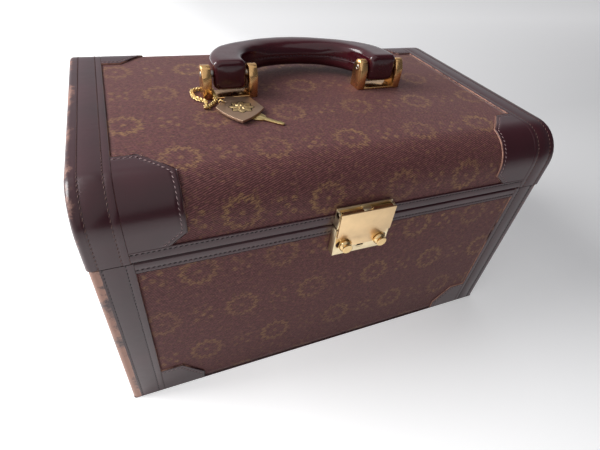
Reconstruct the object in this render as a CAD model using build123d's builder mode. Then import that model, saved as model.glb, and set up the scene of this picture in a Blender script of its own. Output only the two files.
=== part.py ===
from build123d import *
import os
from math import atan2, cos, radians, sin

# Vanity case: a plywood box covered in cloth and trimmed in leather, with a lid that hinges at the back,
# a carrying handle that folds back on the lid, a drop hasp lock, and a lift-out tray inside.
# Millimetres. +X is to the right, -Y is the side with the lock, +Z is up.
# The origin is the middle of the underside.

os.makedirs("parts", exist_ok=True)

# Overall shape
case_width = 320.0
case_depth = 206.0
case_height = 181.0
seam_height = 137.0
seam_gap = 1.2
lid_radius = 25.0
base_setback = 0.75

# Wall layers, from the inside out
panel = 5.0
band_leather = 1.8
band_corner = 1.4
cover_cloth = 0.8
bottom_cover_height = 1.0
lining_board = 2.0
lining_cloth = 1.0

# Leather trim
lid_band_width = 21.6
base_band_width = 22.0
end_border = 16.0
lid_rim_strip = 7.7
base_rim_strip = 7.6
patch_length = 30.0
patch_depth = 36.0
patch_corner_x = 17.0
patch_corner_y = 17.5
patch_foot_x = 9.5
patch_foot_z = 7.5
base_patch_length = 29.25
base_patch_height = 24.5
base_patch_corner_x = 14.5
base_patch_corner_z = 16.5

# Running clearances
pin_clearance = 0.05
running_gap = 0.3
slide_gap = 1.2
board_joint = 0.1

# Inside of the base
lip_height = 5.0
floor_pad = 2.0
ledge_height = 6.0
ledge_width = 6.0
ledge_level = 86.0
tray_height = 38.0
tray_wall = 3.0
tray_floor_board = 3.0
tray_pad = 1.0
tray_divider_height = 30.0
tray_middle_width = 104.0
tab_width = 20.0
tab_height = 12.0
tab_leather = 0.8

# Mirror under the lid
mirror_width = 200.0
mirror_height = 110.0
mirror_glass = 2.5
mirror_board = 1.5
mirror_frame_width = 6.0
mirror_frame_lip = 1.5

# Back hinges
hinge_inset = 75.0
hinge_length = 50.0
hinge_leaf_height = 15.0
hinge_leaf = 1.2
hinge_knuckle_radius = 2.2
hinge_pin_radius = 1.2
hinge_gap = 0.4
hinge_knuckles = 5
rivet_head_radius = 2.6
rivet_head = 0.8
rivet_shank_radius = 1.4

# Handle and its two clevis brackets
handle_pin_spacing = 118.0
handle_pin_height = 15.4
handle_pin_radius = 2.0
bracket_ear = 6.0
bracket_gap = 25.6
bracket_depth = 12.5
bracket_plate = 1.6
bracket_screw_spacing = 14.0
bracket_screw_radius = 1.5
bracket_screw_length = 6.0
screw_head_radius = 2.6
screw_head = 0.8
handle_leg = 22.0
handle_nose = 6.0
handle_inner_rise = 32.5
handle_middle = 22.0
handle_thickness = 19.5
handle_rounding = 5.5
handle_nose_rounding = 5.6
handle_outer_corner = 16.0
handle_crown_fall = 18.5
handle_inner_corner = 20.0
handle_inner_fall = 4.0
handle_back_lean = 1.5
core_inset = 3.2
core_thickness = 6.0

# Drop hasp lock
lock_width = 40.0
lock_height = 21.4
lock_body_depth = 6.2
lock_wall = 1.2
hasp_plate = 1.2
hasp_gap = 0.4
hasp_width = 39.0
hasp_step_x = 2.5
hasp_step_height = 6.0
hasp_below_seam = 14.5
hasp_axis_above_seam = 10.5
hasp_axis_out = 2.4
hasp_barrel_radius = 2.0
hasp_pin_radius = 0.9
hasp_head = 2.2
hasp_block_top = 3.0
hasp_ear = 1.6
hasp_lug = 6.0
tongue_width = 12.0
tongue_height = 6.0
tongue_bottom = 9.0
tongue_reach = 4.2
knob_spacing = 25.5
knob_drop = 13.0
knob_radius = 4.3
knob_disc = 1.4
knob_edge = 0.35
knob_neck_radius = 2.5
knob_proud = 5.8
knob_travel = 3.0
bolt_height = 6.0
bolt_thickness = 3.0
bolt_nose_drop = 1.0
bolt_outer = 2.8
barrel_radius = 3.2
barrel_drop = 15.8
keyhole_width = 5.0
keyhole_height = 1.3
keyhole_depth = 2.5
cam_reach = 5.2
cam_width = 2.6
cam_thickness = 1.0

# Shield tag on its chain, and a small key
tag_width = 31.0
tag_height = 35.5
tag_top_width = 16.0
tag_shoulder = 19.0
tag_bulge = 1.5
tag_plate = 1.6
tag_tip_x = -62.1
tag_tip_y = -45.3
tag_turn = -10.5
tag_level = 1.6
tag_hole_radius = 1.2
tag_hole_inset = 2.3
tag_corner = 1.5
ring_radius = 1.9
ring_wire = 0.35
key_bow_radius = 5.0
key_bow_hole = 2.2
key_blade_width = 2.6
key_length = 20.0
key_metal = 1.0
key_bow_x = -50.5
key_bow_y = -36.0
key_turn = -45.0
key_bit = 2.4
chain_link_radius = 1.0
chain_wire = 0.2
chain_pitch = 1.5

# Places worked out from the sizes above
half_width = case_width / 2
half_depth = case_depth / 2
base_half_width = half_width - base_setback
base_half_depth = half_depth - base_setback
lid_bottom = seam_height + seam_gap / 2
base_top = seam_height - seam_gap / 2
trim_leather = band_leather - cover_cloth
cloth_top = case_height - trim_leather
panel_inside = band_leather + panel
flat_half_depth = half_depth - lid_radius
lid_band_inner = half_width - lid_band_width
base_band_inner = base_half_width - base_band_width
lid_panel_end = half_width - band_leather - panel
base_panel_end = base_half_width - panel_inside
base_panel_side = base_half_depth - panel_inside
floor_top = bottom_cover_height + panel
board_end = base_panel_end - lining_board
board_side = base_panel_side - lining_board
tray_half_width = board_end - slide_gap
tray_half_depth = board_side - slide_gap
ledge_top = ledge_level + ledge_height
tray_bottom = ledge_top + running_gap
tray_top = tray_bottom + tray_height
lid_ceiling = case_height - panel_inside - lining_cloth


def block(low, high, mode=Mode.ADD):
    """A box from its low corner to its high corner."""
    middle = [(a + b) / 2 for a, b in zip(low, high)]
    size = [b - a for a, b in zip(low, high)]
    with Locations(tuple(middle)):
        Box(*size, mode=mode)


def rod(radius, start, length, direction, mode=Mode.ADD):
    """A round bar from a start point along a direction."""
    with BuildSketch(Plane(origin=start, z_dir=direction)) as end:
        Circle(radius)
    extrude(end.sketch, amount=length, mode=mode)


def lid_outline(inset, bottom=lid_bottom):
    """The lid seen from its end: square below, rounded at the two top corners."""
    height = case_height - inset - bottom
    with BuildSketch(mode=Mode.PRIVATE) as outline:
        with Locations((0, bottom + height / 2)):
            Rectangle(case_depth - 2 * inset, height)
        fillet(outline.vertices().group_by(Axis.Y)[-1], lid_radius - inset)
    return outline.sketch


def lid_layer(outer, inner, x_low, x_high, bottom=lid_bottom):
    """A sheet that wraps over the lid from front to back, between two depths under the surface."""
    with BuildSketch(Plane.YZ.offset(x_low)) as end:
        add(lid_outline(outer, bottom))
        add(lid_outline(inner, bottom), mode=Mode.SUBTRACT)
    extrude(end.sketch, amount=x_high - x_low)


def save(piece, name):
    piece.label = name
    export_step(piece, f"parts/{name}.step")


# Plywood box of the base
with BuildPart() as bottom_cover:
    block((-base_half_width, -base_half_depth, 0), (base_half_width, base_half_depth, bottom_cover_height))
    fillet(bottom_cover.edges().filter_by(Axis.Z), band_leather)
save(bottom_cover.part, "bottom_cover")

board_low = (-base_half_width + band_leather, -base_half_depth + band_leather)
board_high = (base_half_width - band_leather, base_half_depth - band_leather)

with BuildPart() as base_floor:
    block((*board_low, bottom_cover_height), (*board_high, floor_top))
save(base_floor.part, "base_floor")

for side, name in ((-1, "base_front_panel"), (1, "base_back_panel")):
    with BuildPart() as wall:
        near, far = sorted((side * board_high[1], side * base_panel_side))
        block((-base_panel_end, near, floor_top), (base_panel_end, far, base_top))
    save(wall.part, name)

for side, name in ((-1, "base_left_panel"), (1, "base_right_panel")):
    with BuildPart() as wall:
        near, far = sorted((side * board_high[0], side * base_panel_end))
        block((near, board_low[1], floor_top), (far, board_high[1], base_top))
    save(wall.part, name)

# Cloth on the base: front, back and the two ends inside their leather borders
cloth_face = base_half_depth - band_leather + cover_cloth
with BuildPart() as base_cloth:
    block((-base_band_inner, -cloth_face, bottom_cover_height), (base_band_inner, -board_high[1], base_top))
    block((-base_band_inner, board_high[1], bottom_cover_height), (base_band_inner, cloth_face, base_top))
save(base_cloth.part, "base_cloth")

window_side = base_half_depth - end_border
window_low = bottom_cover_height + end_border
window_high = base_top - base_rim_strip
with BuildPart() as base_end_cloth:
    block(
        (board_high[0], -window_side, window_low),
        (board_high[0] + cover_cloth, window_side, window_high),
    )
    mirror(about=Plane.YZ)
save(base_end_cloth.part, "base_end_cloth")

# Leather bands that wrap each end of the base, with a border round the end panel
for side, name in ((-1, "base_left_band"), (1, "base_right_band")):
    with BuildPart() as band:
        block(
            (base_band_inner, -base_half_depth, bottom_cover_height),
            (base_half_width, base_half_depth, base_top),
        )
        block(
            (base_band_inner, -board_high[1], bottom_cover_height),
            (board_high[0], board_high[1], base_top),
            Mode.SUBTRACT,
        )
        block(
            (board_high[0], -window_side, window_low),
            (base_half_width, window_side, window_high),
            Mode.SUBTRACT,
        )
        corner_edges = band.edges().filter_by(Axis.Z).group_by(Axis.X)[-1]
        fillet(corner_edges, band_corner)
    save(band.part if side > 0 else band.part.mirror(Plane.YZ), name)

# Leather strips along the rim, and the four patches at the bottom corners
with BuildPart() as base_rim_strips:
    block((-base_band_inner, -base_half_depth, window_high), (base_band_inner, -cloth_face, base_top))
    mirror(about=Plane.XZ)
save(base_rim_strips.part, "base_rim_strips")

base_patch_inner = base_band_inner - base_patch_length
base_patch_top = bottom_cover_height + base_patch_height
with BuildPart() as base_corner_patches:
    with BuildSketch(Plane.XZ.offset(cloth_face)):
        with BuildLine():
            Polyline(
                (base_patch_inner, bottom_cover_height),
                (base_band_inner, bottom_cover_height),
                (base_band_inner, base_patch_top),
                (base_patch_inner + base_patch_corner_x, base_patch_top),
                (base_patch_inner, base_patch_top - base_patch_corner_z),
                close=True,
            )
        make_face()
    extrude(amount=trim_leather)
    mirror(about=Plane.YZ)
    mirror(about=Plane.XZ)
save(base_corner_patches.part, "base_corner_patches")

# Lining boards of the base. They stand above the rim and guide the lid as it closes.
lip_top = base_top + lip_height
with BuildPart() as base_lining:
    for side in (-1, 1):
        near, far = sorted((side * base_panel_side, side * board_side))
        block((-base_panel_end, near, floor_top), (base_panel_end, far, lip_top))
        near, far = sorted((side * base_panel_end, side * board_end))
        length = board_side - board_joint
        block((near, -length, floor_top), (far, length, lip_top))
save(base_lining.part, "base_lining")

with BuildPart() as floor_cushion:
    block((-board_end, -board_side, floor_top), (board_end, board_side, floor_top + floor_pad))
save(floor_cushion.part, "floor_pad")

with BuildPart() as tray_ledges:
    block((board_end - ledge_width, -board_side, ledge_level), (board_end, board_side, ledge_top))
    mirror(about=Plane.YZ)
save(tray_ledges.part, "tray_ledges")

# Lift-out tray
with BuildPart() as tray_floor:
    block(
        (-tray_half_width, -tray_half_depth, tray_bottom),
        (tray_half_width, tray_half_depth, tray_bottom + tray_floor_board),
    )
save(tray_floor.part, "tray_floor")

tray_inside = tray_bottom + tray_floor_board
tray_room_x = tray_half_width - tray_wall
tray_room_y = tray_half_depth - tray_wall
with BuildPart() as tray_walls:
    for side in (-1, 1):
        near, far = sorted((side * tray_half_depth, side * tray_room_y))
        length = tray_room_x - board_joint
        block((-length, near, tray_inside), (length, far, tray_top))
        near, far = sorted((side * tray_half_width, side * tray_room_x))
        block((near, -tray_half_depth, tray_inside), (far, tray_half_depth, tray_top))
save(tray_walls.part, "tray_walls")

divider_face = tray_middle_width / 2
divider_far = divider_face + tray_wall
divider_top = tray_inside + tray_divider_height
pad_top = tray_inside + tray_pad
with BuildPart() as tray_dividers:
    for side in (-1, 1):
        near, far = sorted((side * divider_face, side * divider_far))
        block((near, -tray_room_y, tray_inside), (far, tray_room_y, divider_top))
    length = divider_face - board_joint
    block((-length, -tray_wall / 2, tray_inside), (length, tray_wall / 2, divider_top))
save(tray_dividers.part, "tray_dividers")

with BuildPart() as tray_pads:
    block((divider_far, -tray_room_y, tray_inside), (tray_room_x, tray_room_y, pad_top))
    mirror(about=Plane.YZ)
    block((-divider_face, tray_wall / 2, tray_inside), (divider_face, tray_room_y, pad_top))
    block((-divider_face, -tray_room_y, tray_inside), (divider_face, -tray_wall / 2, pad_top))
save(tray_pads.part, "tray_pads")

with BuildPart() as tray_tabs:
    with BuildSketch(Plane.YZ.offset(tray_room_x - tab_leather)):
        with Locations((0, tray_top)):
            SlotCenterToCenter(2 * tab_height - tab_width, tab_width, rotation=90)
    extrude(amount=tab_leather)
    mirror(about=Plane.YZ)
save(tray_tabs.part, "tray_tabs")

# Plywood shell of the lid
for side, name in ((-1, "lid_left_panel"), (1, "lid_right_panel")):
    with BuildPart() as wall:
        with BuildSketch(Plane.YZ.offset(side * lid_panel_end)):
            add(lid_outline(band_leather))
        extrude(amount=side * panel)
    save(wall.part, name)

with BuildPart() as lid_front_rail:
    lid_layer(band_leather, panel_inside, -lid_panel_end, lid_panel_end)
    split(bisect_by=Plane.XZ.offset(flat_half_depth), keep=Keep.TOP)
save(lid_front_rail.part, "lid_front_rail")

with BuildPart() as lid_back_rail:
    lid_layer(band_leather, panel_inside, -lid_panel_end, lid_panel_end)
    split(bisect_by=Plane.XZ.offset(-flat_half_depth), keep=Keep.BOTTOM)
save(lid_back_rail.part, "lid_back_rail")

bracket_x = handle_pin_spacing / 2
screw_reach = bracket_screw_spacing / 2
screw_spots = [(side * bracket_x + offset, 0) for side in (-1, 1) for offset in (-screw_reach, screw_reach)]
screw_tip = cloth_top + bracket_plate - bracket_screw_length
with BuildPart() as lid_top_panel:
    block(
        (-lid_panel_end, -flat_half_depth, case_height - panel_inside),
        (lid_panel_end, flat_half_depth, case_height - band_leather),
    )
    with Locations([(x, y, case_height - band_leather) for x, y in screw_spots]):
        Hole(bracket_screw_radius, depth=case_height - band_leather - screw_tip + running_gap)
save(lid_top_panel.part, "lid_top_panel")

# Cloth on the lid: one sheet over the front, the top and the back, and one on each end
with BuildPart() as lid_cloth:
    lid_layer(trim_leather, band_leather, -lid_band_inner, lid_band_inner)
    with Locations([(x, y, cloth_top) for x, y in screw_spots]):
        Hole(bracket_screw_radius, depth=2 * cover_cloth)
save(lid_cloth.part, "lid_cloth")

lid_window_bottom = lid_bottom + lid_rim_strip
with BuildPart() as lid_end_cloth:
    with BuildSketch(Plane.YZ.offset(half_width - band_leather)):
        add(lid_outline(end_border, lid_window_bottom))
    extrude(amount=cover_cloth)
    mirror(about=Plane.YZ)
save(lid_end_cloth.part, "lid_end_cloth")

# Leather bands that wrap each end of the lid
for side, name in ((-1, "lid_left_band"), (1, "lid_right_band")):
    with BuildPart() as band:
        lid_layer(0, band_leather, lid_band_inner, half_width - band_leather)
        with BuildSketch(Plane.YZ.offset(half_width - band_leather)):
            add(lid_outline(0))
            add(lid_outline(end_border, lid_window_bottom), mode=Mode.SUBTRACT)
        extrude(amount=band_leather)
    save(band.part if side > 0 else band.part.mirror(Plane.YZ), name)

# Leather strips along the rim of the lid, and the four patches that bend over its rounded corners
with BuildPart() as lid_rim_strips:
    strip_face = trim_leather - half_depth
    block((-lid_band_inner, -half_depth, lid_bottom), (lid_band_inner, strip_face, lid_window_bottom))
    mirror(about=Plane.XZ)
save(lid_rim_strips.part, "lid_rim_strips")

patch_inner = lid_band_inner - patch_length
patch_back = -half_depth + patch_depth
with BuildPart() as lid_corner_patches:
    lid_layer(0, trim_leather, patch_inner, lid_band_inner)
    split(bisect_by=Plane.XZ.offset(-patch_back), keep=Keep.TOP)
    split(bisect_by=Plane.XY.offset(lid_window_bottom), keep=Keep.TOP)
    with BuildSketch(Plane.XY.offset(case_height)):
        with BuildLine():
            Polyline(
                (patch_inner, patch_back),
                (patch_inner + patch_corner_x, patch_back),
                (patch_inner, patch_back - patch_corner_y),
                close=True,
            )
        make_face()
    extrude(amount=-lid_radius, mode=Mode.SUBTRACT)
    with BuildSketch(Plane.XZ.offset(half_depth)):
        with BuildLine():
            Polyline(
                (patch_inner, lid_window_bottom),
                (patch_inner + patch_foot_x, lid_window_bottom),
                (patch_inner, lid_window_bottom + patch_foot_z),
                close=True,
            )
        make_face()
    extrude(amount=-lid_radius, mode=Mode.SUBTRACT)
    mirror(about=Plane.YZ)
    mirror(about=Plane.XZ)
save(lid_corner_patches.part, "lid_corner_patches")

# Lining of the lid, and the mirror with its frame
lining_bottom = lip_top + running_gap
with BuildPart() as lid_lining:
    lid_layer(panel_inside, panel_inside + lining_cloth, -lid_panel_end, lid_panel_end, lining_bottom)
save(lid_lining.part, "lid_lining")

with BuildPart() as lid_end_lining:
    with BuildSketch(Plane.YZ.offset(lid_panel_end - lining_cloth)):
        add(lid_outline(panel_inside + lining_cloth, lining_bottom))
    extrude(amount=lining_cloth)
    mirror(about=Plane.YZ)
save(lid_end_lining.part, "lid_end_lining")

mirror_back = lid_ceiling - mirror_board
with BuildPart() as mirror_backing:
    block(
        (-mirror_width / 2, -mirror_height / 2, mirror_back),
        (mirror_width / 2, mirror_height / 2, lid_ceiling),
    )
save(mirror_backing.part, "mirror_backing")

with BuildPart() as mirror_pane:
    block(
        (-mirror_width / 2, -mirror_height / 2, mirror_back - mirror_glass),
        (mirror_width / 2, mirror_height / 2, mirror_back),
    )
save(mirror_pane.part, "mirror")

frame_low = mirror_back - mirror_glass - mirror_frame_lip
frame_x = mirror_width / 2 + mirror_frame_width
frame_y = mirror_height / 2 + mirror_frame_width
seen_x = mirror_width / 2 - mirror_frame_lip
seen_y = mirror_height / 2 - mirror_frame_lip
with BuildPart() as mirror_frame:
    block((-frame_x, -frame_y, frame_low), (frame_x, frame_y, lid_ceiling))
    block(
        (-mirror_width / 2, -mirror_height / 2, mirror_back - mirror_glass),
        (mirror_width / 2, mirror_height / 2, lid_ceiling),
        Mode.SUBTRACT,
    )
    block((-seen_x, -seen_y, frame_low), (seen_x, seen_y, mirror_back), Mode.SUBTRACT)
save(mirror_frame.part, "mirror_frame")

# Two brass hinges outside the back, each with a leaf on the base, a leaf on the lid and a pin
hinge_y = half_depth + hinge_gap + hinge_knuckle_radius
hinge_x = half_width - hinge_inset
leaf_start = hinge_knuckle_radius + hinge_gap
knuckle_length = hinge_length / hinge_knuckles
rivet_rise = (leaf_start + hinge_leaf_height) / 2
rivet_spots = [side * hinge_x + step * hinge_length / 3 for side in (-1, 1) for step in (-1, 0, 1)]


def hinge_leaves(face, side, first):
    """Both leaves of one half of the hinges. Side is 1 on the lid and -1 on the base."""
    for x in (-hinge_x, hinge_x):
        levels = sorted((seam_height + side * leaf_start, seam_height + side * hinge_leaf_height))
        block((x - hinge_length / 2, face, levels[0]), (x + hinge_length / 2, face + hinge_leaf, levels[1]))
        for turn in range(first, hinge_knuckles, 2):
            low_x = x - hinge_length / 2 + turn * knuckle_length + pin_clearance
            high_x = low_x + knuckle_length - 2 * pin_clearance
            levels = sorted((seam_height, seam_height + side * leaf_start))
            block((low_x, face, levels[0]), (high_x, hinge_y - hinge_pin_radius, levels[1]))
            rod(hinge_knuckle_radius, (low_x, hinge_y, seam_height), high_x - low_x, (1, 0, 0))
    bore = hinge_pin_radius + pin_clearance
    rod(bore, (-half_width, hinge_y, seam_height), case_width, (1, 0, 0), Mode.SUBTRACT)
    for x in rivet_spots:
        height = seam_height + side * rivet_rise
        rod(rivet_shank_radius + pin_clearance, (x, face, height), hinge_leaf, (0, 1, 0), Mode.SUBTRACT)


def hinge_rivets(face, side):
    """Domed rivets that hold the leaves."""
    for x in rivet_spots:
        height = seam_height + side * rivet_rise
        rod(rivet_shank_radius, (x, face, height), hinge_leaf + rivet_head / 2, (0, 1, 0))
        rod(rivet_head_radius, (x, face + hinge_leaf, height), rivet_head, (0, 1, 0))


with BuildPart() as base_hinge_leaves:
    hinge_leaves(base_half_depth, -1, 0)
save(base_hinge_leaves.part, "base_hinge_leaves")

with BuildPart() as lid_hinge_leaves:
    hinge_leaves(half_depth, 1, 1)
save(lid_hinge_leaves.part, "lid_hinge_leaves")

with BuildPart() as hinge_pins:
    for x in (-hinge_x, hinge_x):
        rod(hinge_pin_radius, (x - hinge_length / 2, hinge_y, seam_height), hinge_length, (1, 0, 0))
save(hinge_pins.part, "hinge_pins")

with BuildPart() as base_hinge_rivets:
    hinge_rivets(base_half_depth, -1)
save(base_hinge_rivets.part, "base_hinge_rivets")

with BuildPart() as lid_hinge_rivets:
    hinge_rivets(half_depth, 1)
save(lid_hinge_rivets.part, "lid_hinge_rivets")

# Clevis brackets on the lid, each one plate with two upright ears
pin_level = cloth_top + handle_pin_height
ear_reach = bracket_gap / 2 + bracket_ear
for side, name in ((-1, "handle_bracket_left"), (1, "handle_bracket_right")):
    with BuildPart() as bracket:
        middle = side * bracket_x
        block(
            (middle - bracket_gap / 2, -bracket_depth / 2, cloth_top),
            (middle + bracket_gap / 2, bracket_depth / 2, cloth_top + bracket_plate),
        )
        for ear_x in (middle - ear_reach, middle + bracket_gap / 2):
            with BuildSketch(Plane.YZ.offset(ear_x)):
                with Locations((0, cloth_top + handle_pin_height / 2)):
                    Rectangle(bracket_depth, handle_pin_height)
                with Locations((0, pin_level)):
                    Circle(bracket_depth / 2)
            extrude(amount=bracket_ear)
        bore = handle_pin_radius + pin_clearance
        rod(bore, (middle - ear_reach, 0, pin_level), 2 * ear_reach, (1, 0, 0), Mode.SUBTRACT)
        sink_radius = screw_head_radius + pin_clearance
        with Locations([(x, y, cloth_top + bracket_plate) for x, y in screw_spots]):
            CounterBoreHole(bracket_screw_radius, sink_radius, screw_head, depth=bracket_plate)
    save(bracket.part, name)

with BuildPart() as bracket_screws:
    for x, y in screw_spots:
        shank = bracket_screw_radius - pin_clearance
        rod(shank, (x, y, screw_tip), bracket_screw_length - screw_head / 2, (0, 0, 1))
        rod(screw_head_radius, (x, y, cloth_top + bracket_plate - screw_head), screw_head, (0, 0, 1))
save(bracket_screws.part, "bracket_screws")

with BuildPart() as handle_pins:
    for side in (-1, 1):
        rod(handle_pin_radius, (side * bracket_x - ear_reach, 0, pin_level), 2 * ear_reach, (1, 0, 0))
save(handle_pins.part, "handle_pins")

# Handle: a steel strip inside a padded leather grip. It lies back on the lid, turned about the pins.
lean = radians(handle_back_lean)
handle_plane = Plane(origin=(0, 0, pin_level), x_dir=(1, 0, 0), z_dir=(0, sin(lean), cos(lean)))


def arch_side(rise, corner, fall, leg):
    """Half of one edge of the arch: a shallow crown, a corner arc, and where it meets the straight leg."""
    reach = leg - corner
    slope = 2 * atan2(fall, reach)
    radius = corner / (1 - sin(slope))
    join = (reach, rise - fall)
    leg_top = (leg, rise - fall - radius * cos(slope))
    TangentArc((0, rise), join, tangent=(1, 0))
    TangentArc(join, leg_top, tangent=(cos(slope), -sin(slope)))
    Line(leg_top, (leg, -handle_nose))


def arch_outline(inset):
    """The handle's outline in its own plane, drawn in from the surface by an inset."""
    outer_leg, inner_leg = bracket_x + handle_leg / 2, bracket_x - handle_leg / 2
    with BuildSketch(mode=Mode.PRIVATE) as outline:
        with BuildLine():
            arch_side(handle_inner_rise + handle_middle, handle_outer_corner, handle_crown_fall, outer_leg)
            arch_side(handle_inner_rise, handle_inner_corner, handle_inner_fall, inner_leg)
            Line((inner_leg, -handle_nose), (outer_leg, -handle_nose))
            mirror(about=Plane.YZ)
        make_face()
        fillet(outline.vertices().group_by(Axis.Y)[0], handle_nose_rounding)
        if inset:
            offset(amount=-inset)
    return outline.sketch


def pin_bores():
    rod(
        handle_pin_radius + pin_clearance,
        (-bracket_x - handle_leg, 0, pin_level),
        2 * (bracket_x + handle_leg),
        (1, 0, 0),
        Mode.SUBTRACT,
    )


grip_outline = arch_outline(0)
core_outline = arch_outline(core_inset)
with BuildPart() as handle_core:
    with BuildSketch(handle_plane):
        add(core_outline)
    extrude(amount=core_thickness / 2, both=True)
    pin_bores()
save(handle_core.part, "handle_core")

with BuildPart() as handle_grip:
    with BuildSketch(handle_plane):
        add(grip_outline)
    extrude(amount=handle_thickness / 2, both=True)
    fillet(handle_grip.faces().filter_by(handle_plane).edges(), handle_rounding)
    with BuildSketch(handle_plane):
        add(core_outline)
    extrude(amount=core_thickness / 2, both=True, mode=Mode.SUBTRACT)
    pin_bores()
save(handle_grip.part, "handle_grip")

# Lock case on the base, open at the back, with slots for the two knobs and a gate for the hasp's tongue
lock_back = -base_half_depth
lock_front = lock_back - lock_body_depth
lock_low = base_top - lock_height
knob_x = knob_spacing / 2
knob_z = seam_height - knob_drop
barrel_z = seam_height - barrel_drop
tongue_z = seam_height - tongue_bottom
gate_x = tongue_width / 2 + 2 * running_gap
with BuildPart() as lock_case:
    block((-lock_width / 2, lock_front, lock_low), (lock_width / 2, lock_back, base_top))
    block(
        (-lock_width / 2 + lock_wall, lock_front + lock_wall, lock_low + lock_wall),
        (lock_width / 2 - lock_wall, lock_back, base_top - lock_wall),
        Mode.SUBTRACT,
    )
    block(
        (-gate_x, lock_front, tongue_z - 2 * running_gap),
        (gate_x, lock_back, base_top),
        Mode.SUBTRACT,
    )
    with BuildSketch(Plane.XZ.offset(-lock_front)):
        for side in (-1, 1):
            with Locations((side * (knob_x + knob_travel / 2), knob_z)):
                SlotCenterToCenter(knob_travel, 2 * (knob_neck_radius + running_gap))
        with Locations((0, barrel_z)):
            Circle(barrel_radius + pin_clearance)
    extrude(amount=-lock_wall, mode=Mode.SUBTRACT)
save(lock_case.part, "lock_case")

# Knobs. Each carries the bolt whose nose stands beside the tongue, and slides outwards to free it.
bolt_front = lock_front + lock_wall + 2 * pin_clearance
nose_face = tongue_width / 2 + running_gap
nose_top = tongue_z + tongue_height - bolt_nose_drop
for side, name in ((-1, "lock_knob_left"), (1, "lock_knob_right")):
    with BuildPart() as knob:
        block(
            (nose_face, bolt_front, knob_z - bolt_height / 2),
            (knob_x + bolt_outer, bolt_front + bolt_thickness, knob_z + bolt_height / 2),
        )
        block(
            (nose_face, bolt_front, knob_z - bolt_height / 2),
            (nose_face + bolt_thickness, bolt_front + bolt_thickness, nose_top),
        )
        neck = bolt_front - lock_front + knob_proud
        rod(knob_neck_radius, (knob_x, bolt_front, knob_z), neck, (0, -1, 0))
        disc_back = lock_front - knob_proud + knob_disc
        rod(knob_radius, (knob_x, disc_back, knob_z), knob_disc, (0, -1, 0))
        fillet(knob.faces().sort_by(Axis.Y)[0].edges(), knob_edge)
    save(knob.part if side > 0 else knob.part.mirror(Plane.YZ), name)

with BuildPart() as key_barrel:
    barrel_length = lock_body_depth - lock_wall
    rod(barrel_radius, (0, lock_front, barrel_z), barrel_length, (0, 1, 0))
    block(
        (-cam_width / 2, lock_front + barrel_length, barrel_z),
        (cam_width / 2, lock_front + barrel_length + cam_thickness, barrel_z + cam_reach),
    )
    block(
        (-keyhole_width / 2, lock_front, barrel_z - keyhole_height / 2),
        (keyhole_width / 2, lock_front + keyhole_depth, barrel_z + keyhole_height / 2),
        Mode.SUBTRACT,
    )
save(key_barrel.part, "key_barrel")

# Hasp hinge on the lid: a back plate with an ear at each end and a lug in the middle
plate_front = -half_depth - lock_wall
hasp_y = plate_front - hasp_axis_out
hasp_z = seam_height + hasp_axis_above_seam
hasp_back = lock_front - hasp_gap
ear_round = hasp_barrel_radius - pin_clearance
hasp_bore = hasp_pin_radius + pin_clearance
with BuildPart() as hasp_bracket:
    block(
        (-lock_width / 2, plate_front, lid_bottom + running_gap),
        (lock_width / 2, -half_depth, hasp_z + hasp_block_top),
    )
    for low_x, high_x in (
        (-lock_width / 2, -lock_width / 2 + hasp_ear),
        (-hasp_lug / 2, hasp_lug / 2),
        (lock_width / 2 - hasp_ear, lock_width / 2),
    ):
        rod(ear_round, (low_x, hasp_y, hasp_z), high_x - low_x, (1, 0, 0))
        block((low_x, hasp_y, hasp_z - ear_round), (high_x, plate_front, hasp_z + ear_round))
    for low_x in (-lock_width / 2, lock_width / 2 - hasp_ear):
        high_x = low_x + hasp_ear
        block((low_x, hasp_y - ear_round, lid_bottom + running_gap), (high_x, plate_front, hasp_z))
    rod(hasp_bore, (-lock_width / 2, hasp_y, hasp_z), lock_width, (1, 0, 0), Mode.SUBTRACT)
save(hasp_bracket.part, "hasp_bracket")

with BuildPart() as hasp_pin:
    rod(hasp_pin_radius, (-lock_width / 2, hasp_y, hasp_z), lock_width, (1, 0, 0))
save(hasp_pin.part, "hasp_pin")

# Hasp: a brushed plate that hangs over the lock, cut away round the knobs, with a tongue on its back
hasp_top = hasp_z + hasp_head
hasp_low = seam_height - hasp_below_seam
hasp_step_z = seam_height - hasp_step_height
with BuildPart() as hasp:
    with BuildSketch(Plane.XZ.offset(-hasp_back)):
        with BuildLine():
            Polyline(
                (0, hasp_top),
                (hasp_width / 2, hasp_top),
                (hasp_width / 2, hasp_step_z),
                (hasp_width / 2 - hasp_step_x, hasp_step_z),
                (hasp_width / 2 - hasp_step_x, hasp_low),
                (0, hasp_low),
            )
            mirror(about=Plane.YZ)
        make_face()
        for side in (-1, 1):
            for shift in (0, knob_travel):
                with Locations((side * (knob_x + shift), knob_z)):
                    Circle(knob_radius + 2 * running_gap, mode=Mode.SUBTRACT)
    extrude(amount=hasp_plate)
    roll_low, roll_high = hasp_lug / 2 + running_gap, lock_width / 2 - hasp_ear - running_gap
    for low_x in (-roll_high, roll_low):
        rod(hasp_barrel_radius, (low_x, hasp_y, hasp_z), roll_high - roll_low, (1, 0, 0))
        high_x = low_x + roll_high - roll_low
        block((low_x, hasp_back, hasp_z), (high_x, hasp_y, hasp_z + hasp_barrel_radius))
    rod(hasp_bore, (-lock_width / 2, hasp_y, hasp_z), lock_width, (1, 0, 0), Mode.SUBTRACT)
    block(
        (-tongue_width / 2, hasp_back, tongue_z),
        (tongue_width / 2, hasp_back + tongue_reach, tongue_z + tongue_height),
    )
save(hasp.part, "hasp")

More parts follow.
